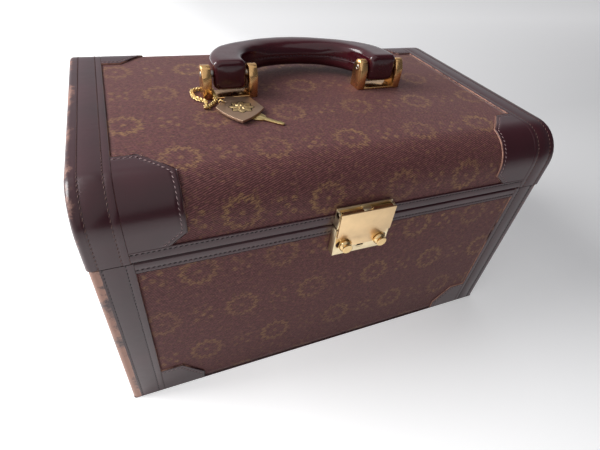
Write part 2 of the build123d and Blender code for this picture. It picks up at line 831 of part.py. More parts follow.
# Shield tag, its jump ring and the small key that lie on the lid in front of the left bracket
tag_low = cloth_top + tag_level
tag_direction = radians(tag_turn)
tag_plane = Plane(
    origin=(tag_tip_x, tag_tip_y, tag_low),
    x_dir=(cos(tag_direction), sin(tag_direction), 0),
    z_dir=(0, 0, 1),
)
side_run = Vector(tag_width / 2, tag_shoulder)
side_middle = side_run / 2 + Vector(side_run.Y, -side_run.X).normalized() * tag_bulge
shoulder_run = Vector(tag_width - tag_top_width, 2 * (tag_height - tag_shoulder)) / 2
shoulder_out = Vector(-shoulder_run.Y, shoulder_run.X).normalized()
shoulder_middle = Vector(-(tag_width + tag_top_width) / 4, (tag_height + tag_shoulder) / 2)
tag_hole = shoulder_middle - shoulder_out * tag_hole_inset
with BuildPart() as shield_tag:
    with BuildSketch(tag_plane) as shield:
        with BuildLine():
            Polyline((0, tag_height), (tag_top_width / 2, tag_height), side_run)
            ThreePointArc(side_run, side_middle, (0, 0))
            mirror(about=Plane.YZ)
        make_face()
        fillet(shield.vertices().group_by(Axis.Y)[-1], tag_corner)
        with Locations(tag_hole):
            Circle(tag_hole_radius, mode=Mode.SUBTRACT)
    extrude(amount=tag_plate)
save(shield_tag.part, "shield_tag")

ring_middle = tag_hole + shoulder_out * ring_radius
ring_plane = Plane(
    origin=tag_plane.from_local_coords(ring_middle + Vector(0, 0, tag_plate / 2)),
    x_dir=(0, 0, 1),
    z_dir=tag_plane.from_local_coords(shoulder_run) - tag_plane.origin,
)
with BuildPart() as tag_ring:
    with Locations(ring_plane.location):
        Torus(ring_radius, ring_wire)
save(tag_ring.part, "tag_ring")

key_direction = radians(key_turn)
key_plane = Plane(
    origin=(key_bow_x, key_bow_y, cloth_top + running_gap),
    x_dir=(cos(key_direction), sin(key_direction), 0),
    z_dir=(0, 0, 1),
)
with BuildPart() as luggage_key:
    with BuildSketch(key_plane):
        Circle(key_bow_radius)
        with Locations((key_length / 2, 0)):
            Rectangle(key_length, key_blade_width)
        with Locations((key_length - key_bit, key_blade_width / 2)):
            Rectangle(2 * key_bit, key_bit)
        Circle(key_bow_hole, mode=Mode.SUBTRACT)
    extrude(amount=key_metal)
save(luggage_key.part, "luggage_key")

# Fine chain, looped round the foot of the left bracket's outer ear
link_reach = chain_link_radius + chain_wire
chain_level = cloth_top + link_reach + chain_wire
chain_over_plate = cloth_top + bracket_plate + link_reach + chain_wire
ear_left, ear_right = -bracket_x - ear_reach, -bracket_x - bracket_gap / 2
ear_face = bracket_depth / 2
ring_far = tag_hole + shoulder_out * (2 * ring_radius + link_reach + 2 * ring_wire)
ring_end = tag_plane.from_local_coords(ring_far)
chain_points = [
    (ring_end.X, ring_end.Y, chain_level),
    (ear_left + 0.3, -ear_face - 4.7, chain_level),
    (ear_left - 4.7, -ear_face + 1.2, chain_level),
    (ear_left - 6.4, ear_face - 4.8, chain_level),
    (ear_left - 5.0, ear_face + 1.3, chain_level),
    (ear_left - 0.7, ear_face + 3.8, chain_level),
    (ear_right - 1.2, ear_face + 2.8, chain_level + 0.4),
    (ear_right + 1.35, ear_face - 0.5, chain_over_plate),
    (ear_right + 1.45, 0, chain_over_plate),
    (ear_right + 1.35, -ear_face + 0.5, chain_over_plate),
    (ear_right + 1.0, -ear_face - 4.4, chain_level),
]
chain_path = Spline(*chain_points, periodic=True)
link_count = 2 * int(chain_path.length / chain_pitch / 2)
with BuildPart() as tag_chain:
    for link in range(link_count):
        turn = (90, 0, 0) if link % 2 else (0, 90, 0)
        with Locations(chain_path.location_at(link / link_count) * Location((0, 0, 0), turn)):
            Torus(chain_link_radius, chain_wire)
save(tag_chain.part, "tag_chain")
print("links", link_count, "chain", round(chain_path.length, 1), "mm")
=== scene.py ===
from contextlib import contextmanager
from functools import cache, partial
from math import asin, atan2, cos, pi, radians, sin, sqrt

import bmesh
import bpy
from bpy.props import FloatProperty, FloatVectorProperty, IntProperty, PointerProperty
from mathutils import Matrix, Vector, noise


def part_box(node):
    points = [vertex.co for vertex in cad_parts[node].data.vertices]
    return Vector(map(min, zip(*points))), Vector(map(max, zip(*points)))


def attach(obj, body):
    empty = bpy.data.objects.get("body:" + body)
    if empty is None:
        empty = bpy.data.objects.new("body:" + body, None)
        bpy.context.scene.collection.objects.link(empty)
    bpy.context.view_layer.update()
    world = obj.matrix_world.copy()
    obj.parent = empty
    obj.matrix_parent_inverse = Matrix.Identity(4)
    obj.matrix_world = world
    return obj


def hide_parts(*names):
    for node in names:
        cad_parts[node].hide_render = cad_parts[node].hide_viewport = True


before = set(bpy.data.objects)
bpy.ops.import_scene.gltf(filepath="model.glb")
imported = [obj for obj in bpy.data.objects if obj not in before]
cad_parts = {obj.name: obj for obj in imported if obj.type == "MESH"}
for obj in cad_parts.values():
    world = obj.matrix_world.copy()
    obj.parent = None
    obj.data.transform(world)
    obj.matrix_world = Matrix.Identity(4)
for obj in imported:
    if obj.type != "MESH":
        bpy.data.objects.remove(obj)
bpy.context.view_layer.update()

bl_info = {
    "name": "Vanity Case",
    "version": (1, 0, 0),
    "blender": (4, 5, 0),
    "location": "View3D > Sidebar > Vanity Case",
    "description": "Builds the finishes of a hard-sided vanity case round its packed model",
    "category": "Object",
}

# Places read from the frame, in metres. The case is symmetric, so its right half is enough.
LID_BAND, BASE_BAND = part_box("lid_right_band"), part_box("base_right_band")
LID_STRIP, BASE_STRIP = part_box("lid_rim_strips"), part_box("base_rim_strips")
LID_CLOTH, BASE_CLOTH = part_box("lid_cloth"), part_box("base_cloth")
LID_END, BASE_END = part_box("lid_end_cloth"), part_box("base_end_cloth")
LID_PATCH, BASE_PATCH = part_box("lid_corner_patches"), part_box("base_corner_patches")
BRACKET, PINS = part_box("handle_bracket_right"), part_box("handle_pins")
PIN_LEVEL = (PINS[0].z + PINS[1].z) / 2
HANDLE_X = (BRACKET[0].x + BRACKET[1].x) / 2
CENTRE = Vector((0, 0, BASE_BAND[1].z * 0.6))
LID_CENTRE = Vector((0, 0, LID_BAND[0].z - 0.02))

# The lid's outline from the end: half its flat top, its rounded edge, its upright side, and lengths along it.
LID_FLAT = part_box("lid_top_panel")[1].y
LID_RADIUS = LID_BAND[1].y - LID_FLAT
LID_SIDE = LID_BAND[1].z - LID_RADIUS - LID_BAND[0].z
LID_CORNER = LID_RADIUS * pi / 2
LID_MIDDLE = LID_SIDE + LID_CORNER + LID_FLAT
LID_WAY = 2 * LID_MIDDLE
SIDE_STEPS, ARC_STEPS, TOP_STEPS = 8, 16, 30

# The leather: its seams, its width on the ends of the case, how far its cut edges are rounded, how deep a
# band's edge goes, how bare the edges are, and how thick the strips and patches are.
LEG_SEAMS = (0.0042, 0.0156)
END_SEAM = 0.012
END_BORDER = LID_BAND[1].y - LID_END[1].y
BAND_CUT, PATCH_CUT, BAND_DEPTH, CUT_WEAR = 0.0006, 0.0005, 0.0013, 1.4
STRIP_LEATHER, PATCH_LEATHER = 0.0007, 0.0006

# The stitches: how far from an edge they start, how much they vary, and the share of their furrow's depth
# that they lie down in it.
STITCH_START, STITCH_SLANT, STITCH_SINK = 0.001, 0.12, 0.4

# The corner patches: the cell of their nets, their seam, how far it shifts at a hidden edge, and where edge
# loops lie beside the free edges. The first two edges of an outline are hidden under bands and strips.
PATCH_CELL, PATCH_SEAM, PATCH_UNDER = 0.0015, 0.0023, 0.0012
PATCH_LOOPS = (0.0, 0.00006, 0.0002, 0.0005, 0.0016, PATCH_SEAM, 0.003)
PATCH_HIDDEN = (0, 1)

# The cloth: its thickness, how far it runs under the leather, and how far it lies inside the CAD solid.
CLOTH, UNDERLAP, SUNK = 0.0006, 0.0004, 0.0001

# The rims: each strip's box, the level of its seam, and how far its lower and upper edges are rounded.
RIMS = (("lid", LID_STRIP, LID_STRIP[1].z - 0.0019, 0.0013, 0.0006),
        ("base", BASE_STRIP, BASE_STRIP[0].z + 0.0023, 0.0006, 0.0013))

MERGE = 2e-6
MATERIALS = {}


def length(name, description, default, low, high):
    """A property that holds a length in metres."""
    return FloatProperty(
        name=name, description=description, default=default, min=low, max=high, unit="LENGTH")


class CaseSizes(bpy.types.PropertyGroup):
    """Sizes of the finishes."""

    edge_radius: length("Edge radius", "Rounding of the leather over the end edges", 0.003, 0.001, 0.006)
    leather: length("Leather thickness", "Thickness of the bands", 0.0014, 0.0005, 0.0017)
    seam_depth: length("Seam depth", "How far a row of stitches sinks into the leather", 0.00025, 0.0, 0.0006)
    seam_width: length("Seam width", "Half the width of the furrow along a seam", 0.0007, 0.0002, 0.002)
    stitch_pitch: length("Stitch pitch", "Distance from one stitch to the next", 0.0028, 0.001, 0.01)
    stitch_length: length("Stitch length", "Length of the thread that shows", 0.0021, 0.0005, 0.008)
    thread: length("Thread radius", "Radius of the sewing thread", 0.00026, 0.0001, 0.001)
    motif_pitch: length("Motif pitch", "Distance between the woven motifs along a row", 0.052, 0.02, 0.1)
    twill_pitch: length("Twill pitch", "Distance between the ribs of the weave", 0.0012, 0.0003, 0.003)
    chain_pitch: length("Chain pitch", "Distance from one chain link to the next", 0.0013, 0.0008, 0.004)
    seed: IntProperty(name="Seed", description="Seed of everything that varies at random", default=7)


def linear(text):
    """An sRGB hex value as the linear colour that shaders use."""
    channels = [int(text[i:i + 2], 16) / 255 for i in (0, 2, 4)]
    return tuple(c / 12.92 if c <= 0.04045 else ((c + 0.055) / 1.055) ** 2.4 for c in channels)


def tint(name, description, text):
    """A property that holds a colour."""
    return FloatVectorProperty(name=name, description=description, subtype="COLOR", default=linear(text))


class CaseColours(bpy.types.PropertyGroup):
    """Colours of the finishes."""

    leather: tint("Leather", "Glazed leather of the trim", "360e17")
    worn: tint("Worn leather", "Bare leather where the glaze has rubbed off", "a67b6a")
    cloth: tint("Cloth", "Ground of the woven cloth", "6c4141")
    motif: tint("Motif", "Gold yarn of the woven motifs", "a07c50")
    brass: tint("Brass", "Polished fittings", "ecca92")
    lining: tint("Lining", "Cloth inside the case", "8f5f57")


def sizes():
    return bpy.context.scene.vanity_sizes


def colours():
    return bpy.context.scene.vanity_colours


def rgba(colour):
    return (*colour, 1.0)


def shades(colour, low, high):
    """A darker and a lighter shade of a colour, as the two colours of a Mix node."""
    return {6: rgba([c * low for c in colour]), 7: rgba([min(1.0, c * high) for c in colour])}


# Node trees

def add_node(tree, kind, values=None, **settings):
    """Adds a node. A shader node's kind leaves out its prefix. A value may be a socket or a node.

    A node stands for the first of its outputs that is enabled.
    """
    made = tree.nodes.new(kind if "Node" in kind else "ShaderNode" + kind)
    for name, value in settings.items():
        setattr(made, name, value)
    for key, value in (values or {}).items():
        if isinstance(value, bpy.types.Node):
            value = next(socket for socket in value.outputs if socket.enabled)
        if isinstance(value, bpy.types.NodeSocket):
            tree.links.new(value, made.inputs[key])
        else:
            made.inputs[key].default_value = value
    return made


def start_material(name):
    """A material with an empty tree, and the function that adds a node to it."""
    material = bpy.data.materials.new(name)
    material.use_nodes = True
    material.node_tree.nodes.clear()
    return material, partial(add_node, material.node_tree)


def start_tree(name, inputs):
    """A geometry tree with named inputs.

    Gives back the function that adds a node, the sockets of the inputs, and the tree with its inputs' keys.
    """
    tree = bpy.data.node_groups.new(name, "GeometryNodeTree")
    tree.interface.new_socket("Geometry", in_out="OUTPUT", socket_type="NodeSocketGeometry")
    keys = {}
    for label, kind in {"Geometry": "Geometry", **inputs}.items():
        socket = tree.interface.new_socket(label, in_out="INPUT", socket_type="NodeSocket" + kind)
        keys[label] = socket.identifier
    add = partial(add_node, tree)
    return add, add("NodeGroupInput").outputs, (tree, keys)


def end_tree(add, geometry, material, smooth=True):
    """Realizes the instances, smooths them if they are round, and sets their material."""
    geometry = add("GeometryNodeRealizeInstances", {"Geometry": geometry})
    if smooth:
        geometry = add("GeometryNodeSetShadeSmooth", {"Geometry": geometry})
    final = add("GeometryNodeSetMaterial", {"Geometry": geometry, "Material": material})
    add("NodeGroupOutput", {"Geometry": final})


@cache
def stitch_tree():
    """Stitches along the edges of a mesh: short lengths of thread, leaning one way, each a little off."""
    add, given, made = start_tree("stitches", {
        "Pitch": "Float", "Length": "Float", "Thread radius": "Float", "Slant": "Float", "Lean": "Vector",
        "Seed": "Int", "Material": "Material"})
    curve = add("GeometryNodeMeshToCurve", {"Mesh": given["Geometry"]})
    points = add("GeometryNodeCurveToPoints", {"Curve": curve, "Length": given["Pitch"]}, mode="LENGTH")
    slant = add("FunctionNodeRandomValue", {
        "Seed": given["Seed"], "Min": (-1.0, -1.0, -1.0), "Max": (1.0, 1.0, 1.0)}, data_type="FLOAT_VECTOR")
    spread_out = add("VectorMath", {0: slant, "Scale": given["Slant"]}, operation="SCALE")
    along = add("VectorMath", {0: points.outputs["Tangent"], 1: spread_out}, operation="ADD")
    leaning = add("VectorMath", {0: along, 1: given["Lean"]}, operation="ADD")
    turn = add("FunctionNodeAlignRotationToVector", {"Vector": leaning}, axis="Z")
    half = add("Math", {0: given["Length"], 1: 0.5}, operation="MULTIPLY")
    scale = add("CombineXYZ", {"X": given["Thread radius"], "Y": given["Thread radius"], "Z": half})
    ball = add("GeometryNodeMeshIcoSphere", {"Radius": 1.0, "Subdivisions": 2})
    thread = add("GeometryNodeInstanceOnPoints", {
        "Points": points, "Instance": ball, "Rotation": turn, "Scale": scale})
    end_tree(add, thread, given["Material"])
    return made


@cache
def fastener_tree():
    """One fastener at each point of a mesh, turned to face one way, each at its own angle."""
    add, given, made = start_tree("fasteners", {
        "Head": "Object", "Facing": "Vector", "Seed": "Int", "Material": "Material"})
    head = add("GeometryNodeObjectInfo", {"Object": given["Head"]})
    facing = add("FunctionNodeAlignRotationToVector", {"Vector": given["Facing"]}, axis="Z")
    turn = add("FunctionNodeRandomValue", {
        "Seed": given["Seed"], "Min": (0.0, 0.0, -1.2), "Max": (0.0, 0.0, 1.2)}, data_type="FLOAT_VECTOR")
    placed = add("GeometryNodeInstanceOnPoints", {
        "Points": given["Geometry"], "Instance": head.outputs["Geometry"], "Rotation": facing})
    spun = add("GeometryNodeRotateInstances", {"Instances": placed, "Rotation": turn, "Local Space": True})
    end_tree(add, spun, given["Material"], smooth=False)
    return made


@cache
def chain_tree():
    """Round links along the edges of a mesh, each about a quarter turn from the last."""
    add, given, made = start_tree("chain", {
        "Pitch": "Float", "Link radius": "Float", "Wire radius": "Float", "Seed": "Int",
        "Material": "Material"})
    curve = add("GeometryNodeMeshToCurve", {"Mesh": given["Geometry"]})
    points = add("GeometryNodeCurveToPoints", {"Curve": curve, "Length": given["Pitch"]}, mode="LENGTH")
    along = add("FunctionNodeAlignRotationToVector", {"Vector": points.outputs["Tangent"]}, axis="X")
    index = add("GeometryNodeInputIndex")
    wobble = add("FunctionNodeRandomValue", {"Seed": given["Seed"], 2: -0.25, 3: 0.25}, data_type="FLOAT")
    quarter = add("Math", {0: index, 1: pi / 2, 2: wobble}, operation="MULTIPLY_ADD")
    lean = add("Math", {0: quarter, 1: pi / 4}, operation="ADD")
    turn = add("CombineXYZ", {"X": lean})
    ring = add("GeometryNodeCurvePrimitiveCircle", {"Resolution": 12, "Radius": given["Link radius"]})
    wire = add("GeometryNodeCurvePrimitiveCircle", {"Resolution": 5, "Radius": given["Wire radius"]})
    link = add("GeometryNodeCurveToMesh", {"Curve": ring, "Profile Curve": wire})
    placed = add("GeometryNodeInstanceOnPoints", {"Points": points, "Instance": link, "Rotation": along})
    spun = add("GeometryNodeRotateInstances", {"Instances": placed, "Rotation": turn, "Local Space": True})
    end_tree(add, spun, given["Material"])
    return made


# Materials

def leather_material(name, colour, roughness):
    """Glazed calfskin: a hard gloss over pores and creases, rubbed through to bare hide on its edges.

    Real pores are about 0.2 mm across. They are drawn at 0.9 mm, so that they show.
    """
    material, add = start_material(name)
    place = add("TexCoord").outputs["Object"]
    blotch = add("TexNoise", {"Vector": place, "Scale": 1 / 0.03, "Detail": 4.0})
    tone = add("Mix", {0: blotch, **shades(colour, 0.55, 1.5)}, data_type="RGBA")
    worn = add("Attribute", attribute_name="wear").outputs["Fac"]
    patchy = add("TexNoise", {"Vector": place, "Scale": 1 / 0.006, "Detail": 6.0, "Roughness": 0.75})
    uneven = add("Math", {0: blotch, 1: patchy}, operation="MULTIPLY")
    rubbed = add("Math", {0: worn, 1: uneven}, operation="MULTIPLY")
    mask = add("MapRange", {"Value": rubbed, "From Min": 0.22, "From Max": 0.34})
    final = add("Mix", {0: mask, 6: tone, 7: rgba(colours().worn)}, data_type="RGBA")
    gloss = add("MapRange", {"Value": mask, "To Min": roughness, "To Max": 0.6})
    pores = add("TexNoise", {"Vector": place, "Scale": 1 / 0.0009, "Detail": 2.0})
    creases = add("TexNoise", {"Vector": place, "Scale": 1 / 0.006, "Detail": 3.0})
    height = add("Math", {0: creases, 1: 4.0, 2: pores}, operation="MULTIPLY_ADD")
    bump = add("Bump", {"Height": height, "Distance": 0.00003, "Strength": 0.6})
    shader = add("BsdfPrincipled", {
        "Base Color": final, "Roughness": gloss, "Normal": bump, "IOR": 1.5, "Coat Weight": 0.25,
        "Coat Roughness": 0.17, "Coat IOR": 1.5})
    add("OutputMaterial", {"Surface": shader})
    return material


def cloth_material():
    """Woven jacquard: a brown and plum twill, with scalloped rings and groups of dots in a dull gold yarn.

    Real twill ribs are about 0.5 mm apart and the yarn 0.3 mm. Both are drawn coarser, so that they show.
    """
    material, add = start_material("Woven jacquard cloth")
    pitch = sizes().motif_pitch
    row_pitch = pitch * 0.8
    flower = pitch * 0.23
    flat = add("UVMap", uv_map="weave")
    turned_flat = add("Mapping", {"Vector": flat, "Rotation": (0.0, 0.0, radians(-20))})
    ribs = add("TexWave", {
        "Vector": turned_flat, "Scale": 2 * pi / (20 * sizes().twill_pitch), "Distortion": 1.5, "Detail": 2.0,
        "Detail Scale": 1.0}, wave_type="BANDS", bands_direction="Y").outputs["Fac"]
    drawn = add("Mapping", {"Vector": turned_flat, "Scale": (0.35, 1.0, 1.0)})
    yarn = add("TexNoise", {"Vector": drawn, "Scale": 1 / 0.0009, "Detail": 2.0, "Roughness": 0.6})
    wash = add("TexNoise", {"Vector": flat, "Scale": 1 / 0.05, "Detail": 3.0})

    # The place in one repeat of the pattern, in metres from its middle. Odd rows shift by half a repeat.
    split = add("SeparateXYZ", {0: flat})
    rows = add("Math", {0: split.outputs["Y"], 1: row_pitch}, operation="DIVIDE")
    row = add("Math", {0: rows}, operation="FLOOR")
    odd = add("Math", {0: row, 1: 2.0}, operation="FLOORED_MODULO")
    columns = add("Math", {0: split.outputs["X"], 1: pitch}, operation="DIVIDE")
    shifted = add("Math", {0: odd, 1: 0.5, 2: columns}, operation="MULTIPLY_ADD")
    across = add("Math", {0: shifted}, operation="FRACT")
    up = add("Math", {0: rows}, operation="FRACT")
    x = add("MapRange", {"Value": across, "To Min": -pitch / 2, "To Max": pitch / 2})
    y = add("MapRange", {"Value": up, "To Min": -row_pitch / 2, "To Max": row_pitch / 2})

    # A ring of twelve scallops with an eye in it
    radius = add("VectorMath", {0: add("CombineXYZ", {"X": x, "Y": y})}, operation="LENGTH")
    angle = add("Math", {0: y, 1: x}, operation="ARCTAN2")
    twelvefold = add("Math", {0: angle, 1: 12.0}, operation="MULTIPLY")
    lobes = add("Math", {0: twelvefold}, operation="COSINE")
    reach = add("Math", {0: lobes, 1: flower * 0.09, 2: flower * 0.8}, operation="MULTIPLY_ADD")
    off_ring = add("Math", {0: reach, 1: radius}, operation="SUBTRACT")
    from_ring = add("Math", {0: off_ring}, operation="ABSOLUTE")
    ring = add("MapRange", {"Value": from_ring, "From Min": 0.0026, "From Max": 0.0010})
    eye = add("MapRange", {"Value": radius, "From Min": 0.0022, "From Max": 0.0010})
    flowers = add("Math", {0: ring, 1: eye}, operation="MAXIMUM")

    # Five dots between the rings of a row
    side = add("Math", {0: x}, operation="ABSOLUTE")
    to_edge = add("Math", {0: pitch / 2, 1: side}, operation="SUBTRACT")
    tall = add("Math", {0: y}, operation="ABSOLUTE")
    corner = add("CombineXYZ", {"X": to_edge, "Y": tall})
    middle_dot = add("VectorMath", {0: corner}, operation="LENGTH")
    outer_dot = add("VectorMath", {0: corner, 1: (0.0045, 0.0045, 0.0)}, operation="DISTANCE")
    near = add("Math", {0: middle_dot, 1: outer_dot}, operation="MINIMUM")
    dots = add("MapRange", {"Value": near, "From Min": 0.0024, "From Max": 0.0012})

    # Gold yarn: the figures, broken up by the weave and faded in places, and stray flecks
    figure = add("Math", {0: flowers, 1: dots}, operation="MAXIMUM")
    broken = add("MapRange", {"Value": yarn, "From Min": 0.40, "From Max": 0.56})
    speckle = add("Math", {0: figure, 1: broken}, operation="MULTIPLY")
    faded = add("MapRange", {"Value": wash, "From Min": 0.3, "From Max": 0.7, "To Min": 0.2, "To Max": 0.7})
    flecks = add("TexNoise", {"Vector": flat, "Scale": 1 / 0.004, "Detail": 3.0, "Roughness": 0.7})
    flecked = add("MapRange", {"Value": flecks, "From Min": 0.54, "From Max": 0.72, "To Max": 0.3})
    woven = add("Math", {0: speckle, 1: faded}, operation="MULTIPLY")
    gold = add("Math", {0: woven, 1: flecked}, operation="MAXIMUM")

    ground = colours().cloth
    shade = add("Mix", {0: ribs, **shades(ground, 0.45, 1.5)}, data_type="RGBA")
    dashes = add("MapRange", {"Value": yarn, "From Min": 0.35, "From Max": 0.65})
    mottled = add("Mix", {0: dashes, **shades(ground, 0.5, 1.0), 7: shade}, data_type="RGBA")
    final = add("Mix", {0: gold, 6: mottled, 7: rgba(colours().motif)}, data_type="RGBA")
    bump = add("Bump", {"Height": ribs, "Distance": 0.00015, "Strength": 0.7})
    shader = add("BsdfPrincipled", {
        "Base Color": final, "Normal": bump, "Roughness": 0.62, "Specular IOR Level": 0.25,
        "Sheen Weight": 0.3, "Sheen Roughness": 0.35, "Sheen Tint": rgba(linear("e6cdc8"))})
    add("OutputMaterial", {"Surface": shader})
    return material


def metal_material(name, colour, roughness, brushed=None):
    """Lacquered or plain metal: clean, a little cloudy, with upright lines on a brushed plate.

    Real brush lines are about 0.05 mm apart. They are drawn at 0.4 mm, so that they show.
    """
    material, add = start_material(name)
    place = add("TexCoord").outputs["Object"]
    cloud = add("TexNoise", {"Vector": place, "Scale": 1 / 0.008, "Detail": 4.0})
    tone = add("Mix", {0: cloud, **shades(colour, 0.8, 1.12)}, data_type="RGBA")
    gloss = add("MapRange", {"Value": cloud, "To Min": roughness * 0.8, "To Max": roughness * 1.3})
    stretch = add("Mapping", {"Vector": place, "Scale": brushed or (1.0, 1.0, 1.0)})
    lines = add("TexNoise", {"Vector": stretch, "Scale": 1 / 0.0004, "Detail": 3.0})
    bump = add("Bump", {"Height": lines, "Distance": 0.00002 if brushed else 0.000004, "Strength": 0.5})
    shader = add("BsdfPrincipled", {"Base Color": tone, "Roughness": gloss, "Normal": bump, "Metallic": 1.0})
    add("OutputMaterial", {"Surface": shader})
    return material


def thread_material(name, colour):
    """Waxed linen thread, or a dark matt paint that stands for shade: no gloss, and a faint twist of 0.4 mm,
    drawn at 0.8 mm.
    """
    material, add = start_material(name)
    place = add("TexCoord").outputs["Object"]
    twist = add("TexNoise", {"Vector": place, "Scale": 1 / 0.0008, "Detail": 2.0})
    tone = add("Mix", {0: twist, **shades(colour, 0.5, 1.4)}, data_type="RGBA")
    shader = add("BsdfPrincipled", {"Base Color": tone, "Roughness": 0.6})
    add("OutputMaterial", {"Surface": shader})
    return material


def lining_material():
    """Woven viscose lining: a plain weave with a soft sheen. Its 0.3 mm threads are drawn at 0.9 mm."""
    material, add = start_material("Viscose lining cloth")
    place = add("TexCoord").outputs["Object"]
    weave = add("TexNoise", {"Vector": place, "Scale": 1 / 0.0009, "Detail": 2.0})
    wash = add("TexNoise", {"Vector": place, "Scale": 1 / 0.05, "Detail": 3.0})
    both = add("Math", {0: weave, 1: wash}, operation="ADD")
    level = add("MapRange", {"Value": both, "From Min": 0.6, "From Max": 1.4})
    tone = add("Mix", {0: level, **shades(colours().lining, 0.75, 1.15)}, data_type="RGBA")
    bump = add("Bump", {"Height": weave, "Distance": 0.00008, "Strength": 0.6})
    shader = add("BsdfPrincipled", {
        "Base Color": tone, "Normal": bump, "Roughness": 0.55, "Sheen Weight": 0.5})
    add("OutputMaterial", {"Surface": shader})
    return material


def wood_material():
    """Birch plywood: pale, matt, with long darker grain."""
    material, add = start_material("Birch plywood")
    stretch = add("Mapping", {"Vector": add("TexCoord").outputs["Object"], "Scale": (1.0, 12.0, 12.0)})
    grain = add("TexNoise", {"Vector": stretch, "Scale": 1 / 0.03, "Detail": 6.0})
    tone = add("Mix", {0: grain, 6: rgba(linear("a57f55")), 7: rgba(linear("d9b98a"))}, data_type="RGBA")
    bump = add("Bump", {"Height": grain, "Distance": 0.0001, "Strength": 0.4})
    shader = add("BsdfPrincipled", {"Base Color": tone, "Normal": bump, "Roughness": 0.65})
    add("OutputMaterial", {"Surface": shader})
    return material


def mirror_material():
    """Silvered glass: near perfect reflection, very slightly hazed."""
    material, add = start_material("Silvered mirror glass")
    haze = add("TexNoise", {"Vector": add("TexCoord").outputs["Object"], "Scale": 1 / 0.02, "Detail": 3.0})
    gloss = add("MapRange", {"Value": haze, "To Min": 0.01, "To Max": 0.05})
    shader = add("BsdfPrincipled", {
        "Roughness": gloss, "Base Color": rgba(linear("dfe5e4")), "Metallic": 1.0})
    add("OutputMaterial", {"Surface": shader})
    return material


def floor_material():
    """A matt white board with a painted glow, strongest to the left and far behind: white to the camera, pale
    grey in the metal. Light bounced off it has no glow, so the case's shadow stays.
    """
    material, add = start_material("Matt white board")
    # Painted light: an emission, strongest to the left of the case and far behind it, that only the camera
    # and reflections see.
    rays = add("LightPath")
    seen = add("Math", {0: rays.outputs["Is Glossy Ray"], 1: 0.85, 2: rays.outputs["Is Camera Ray"]},
               operation="MULTIPLY_ADD")
    split = add("SeparateXYZ", {0: add("TexCoord").outputs["Object"]})
    lit = add("MapRange", {"Value": split.outputs["X"], "From Min": 0.36, "From Max": -0.05, "To Max": 0.45})
    far = add("MapRange", {"Value": split.outputs["Y"], "From Min": 0.25, "From Max": 0.9, "To Max": 0.25})
    pale = add("Math", {0: lit, 1: far}, operation="MAXIMUM")
    glow = add("Math", {0: seen, 1: pale}, operation="MULTIPLY")
    shader = add("BsdfPrincipled", {
        "Base Color": rgba(linear("f2f2f2")), "Roughness": 0.7, "Emission Strength": glow,
        "Emission Color": (1.0, 1.0, 1.0, 1.0)})
    add("OutputMaterial", {"Surface": shader})
    return material


def make_materials():
    colour = colours()
    metals = (
        ("brass", "Polished brass", colour.brass, 0.2),  # warm, with clear reflections
        ("brushed", "Brushed brass plate", linear("f0cfa0"), 0.3, (1.0, 1.0, 0.04)),  # pale, with fine lines
        ("satin", "Satin brass lock case", linear("fbe3bb"), 0.36),  # paler, with soft reflections
        ("black", "Blackened steel", linear("14100e"), 0.5),  # painted shade seen through the keyhole, very dark
        ("amber", "Cast brass fitting", linear("f2c184"), 0.26),  # a deeper gold
        ("chain", "Gilt chain wire", linear("f2d695"), 0.3),  # bright yellow glints
        ("bronze", "Patinated bronze", linear("c6a78d"), 0.4),  # brownish, with a dull shine
        ("patina", "Dark patina", linear("33271d"), 0.6),  # dark brown in the hollows
        ("relief", "Rubbed bronze relief", linear("cdb182"), 0.4),  # yellower where it is rubbed
        ("steel", "Bright steel", linear("b9b6b0"), 0.3))  # grey
    for key, *finish in metals:
        MATERIALS[key] = metal_material(*finish)
    for key, name, text in (
            ("red thread", "Brown linen thread", "5c3f38"), ("pale thread", "Faded linen thread", "937a7a"),
            # The last one is a dark matt paint: painted shade for the rim boards in the gap between lid and
            # base.
            ("dark thread", "Black linen thread", "2a1f22"), ("rim gap shade", "Stained plywood edge", "2a1714")):
        MATERIALS[key] = thread_material(name, linear(text))
    MATERIALS.update({
        "leather": leather_material("Glazed calfskin trim", colour.leather, 0.3),
        "handle": leather_material("Polished calfskin handle", linear("3a0c15"), 0.14),
        "cloth": cloth_material(), "lining": lining_material(), "wood": wood_material(),
        "mirror": mirror_material(), "floor": floor_material()})


# Meshes

def new_object(name, data):
    """A new object at the origin of the scene."""
    made = bpy.data.objects.new(name, data)
    bpy.context.scene.collection.objects.link(made)
    return made


@contextmanager
def net_of(mesh, result=None):
    """A mesh opened for editing, and written back to itself or to another mesh."""
    net = bmesh.new()
    net.from_mesh(mesh)
    yield net
    net.to_mesh(result or mesh)
    net.free()


def apply_modifiers(piece):
    """Turns the piece and its modifiers into one plain mesh."""
    graph = bpy.context.evaluated_depsgraph_get()
    mesh = bpy.data.meshes.new_from_object(piece.evaluated_get(graph), depsgraph=graph)
    piece.modifiers.clear()
    piece.data = mesh
    mesh.name = piece.name
    return piece


def keep_sharp(piece, angle):
    """Keeps the edges sharp that turn by more than an angle."""
    piece.data.set_sharp_from_angle(angle=radians(angle))
    return piece


def thicken(piece, thickness, centre, joined=False):
    """Points open sheets away from a place inside and thickens them inwards. A joined one is merged first."""
    with net_of(piece.data) as net:
        if joined:
            bmesh.ops.remove_doubles(net, verts=net.verts, dist=MERGE)
            bmesh.ops.recalc_face_normals(net, faces=net.faces)
            far = max(net.faces, key=lambda face: (face.calc_center_median() - centre).length)
            wrong = net.faces[:] if far.normal.dot(far.calc_center_median() - centre) < 0 else []
        else:
            net.normal_update()
            wrong = [face for face in net.faces if face.normal.dot(face.calc_center_median() - centre) < 0]
        bmesh.ops.reverse_faces(net, faces=wrong)
    solid = piece.modifiers.new("thickness", "SOLIDIFY")
    solid.thickness = thickness
    solid.offset = -1
    return apply_modifiers(piece)


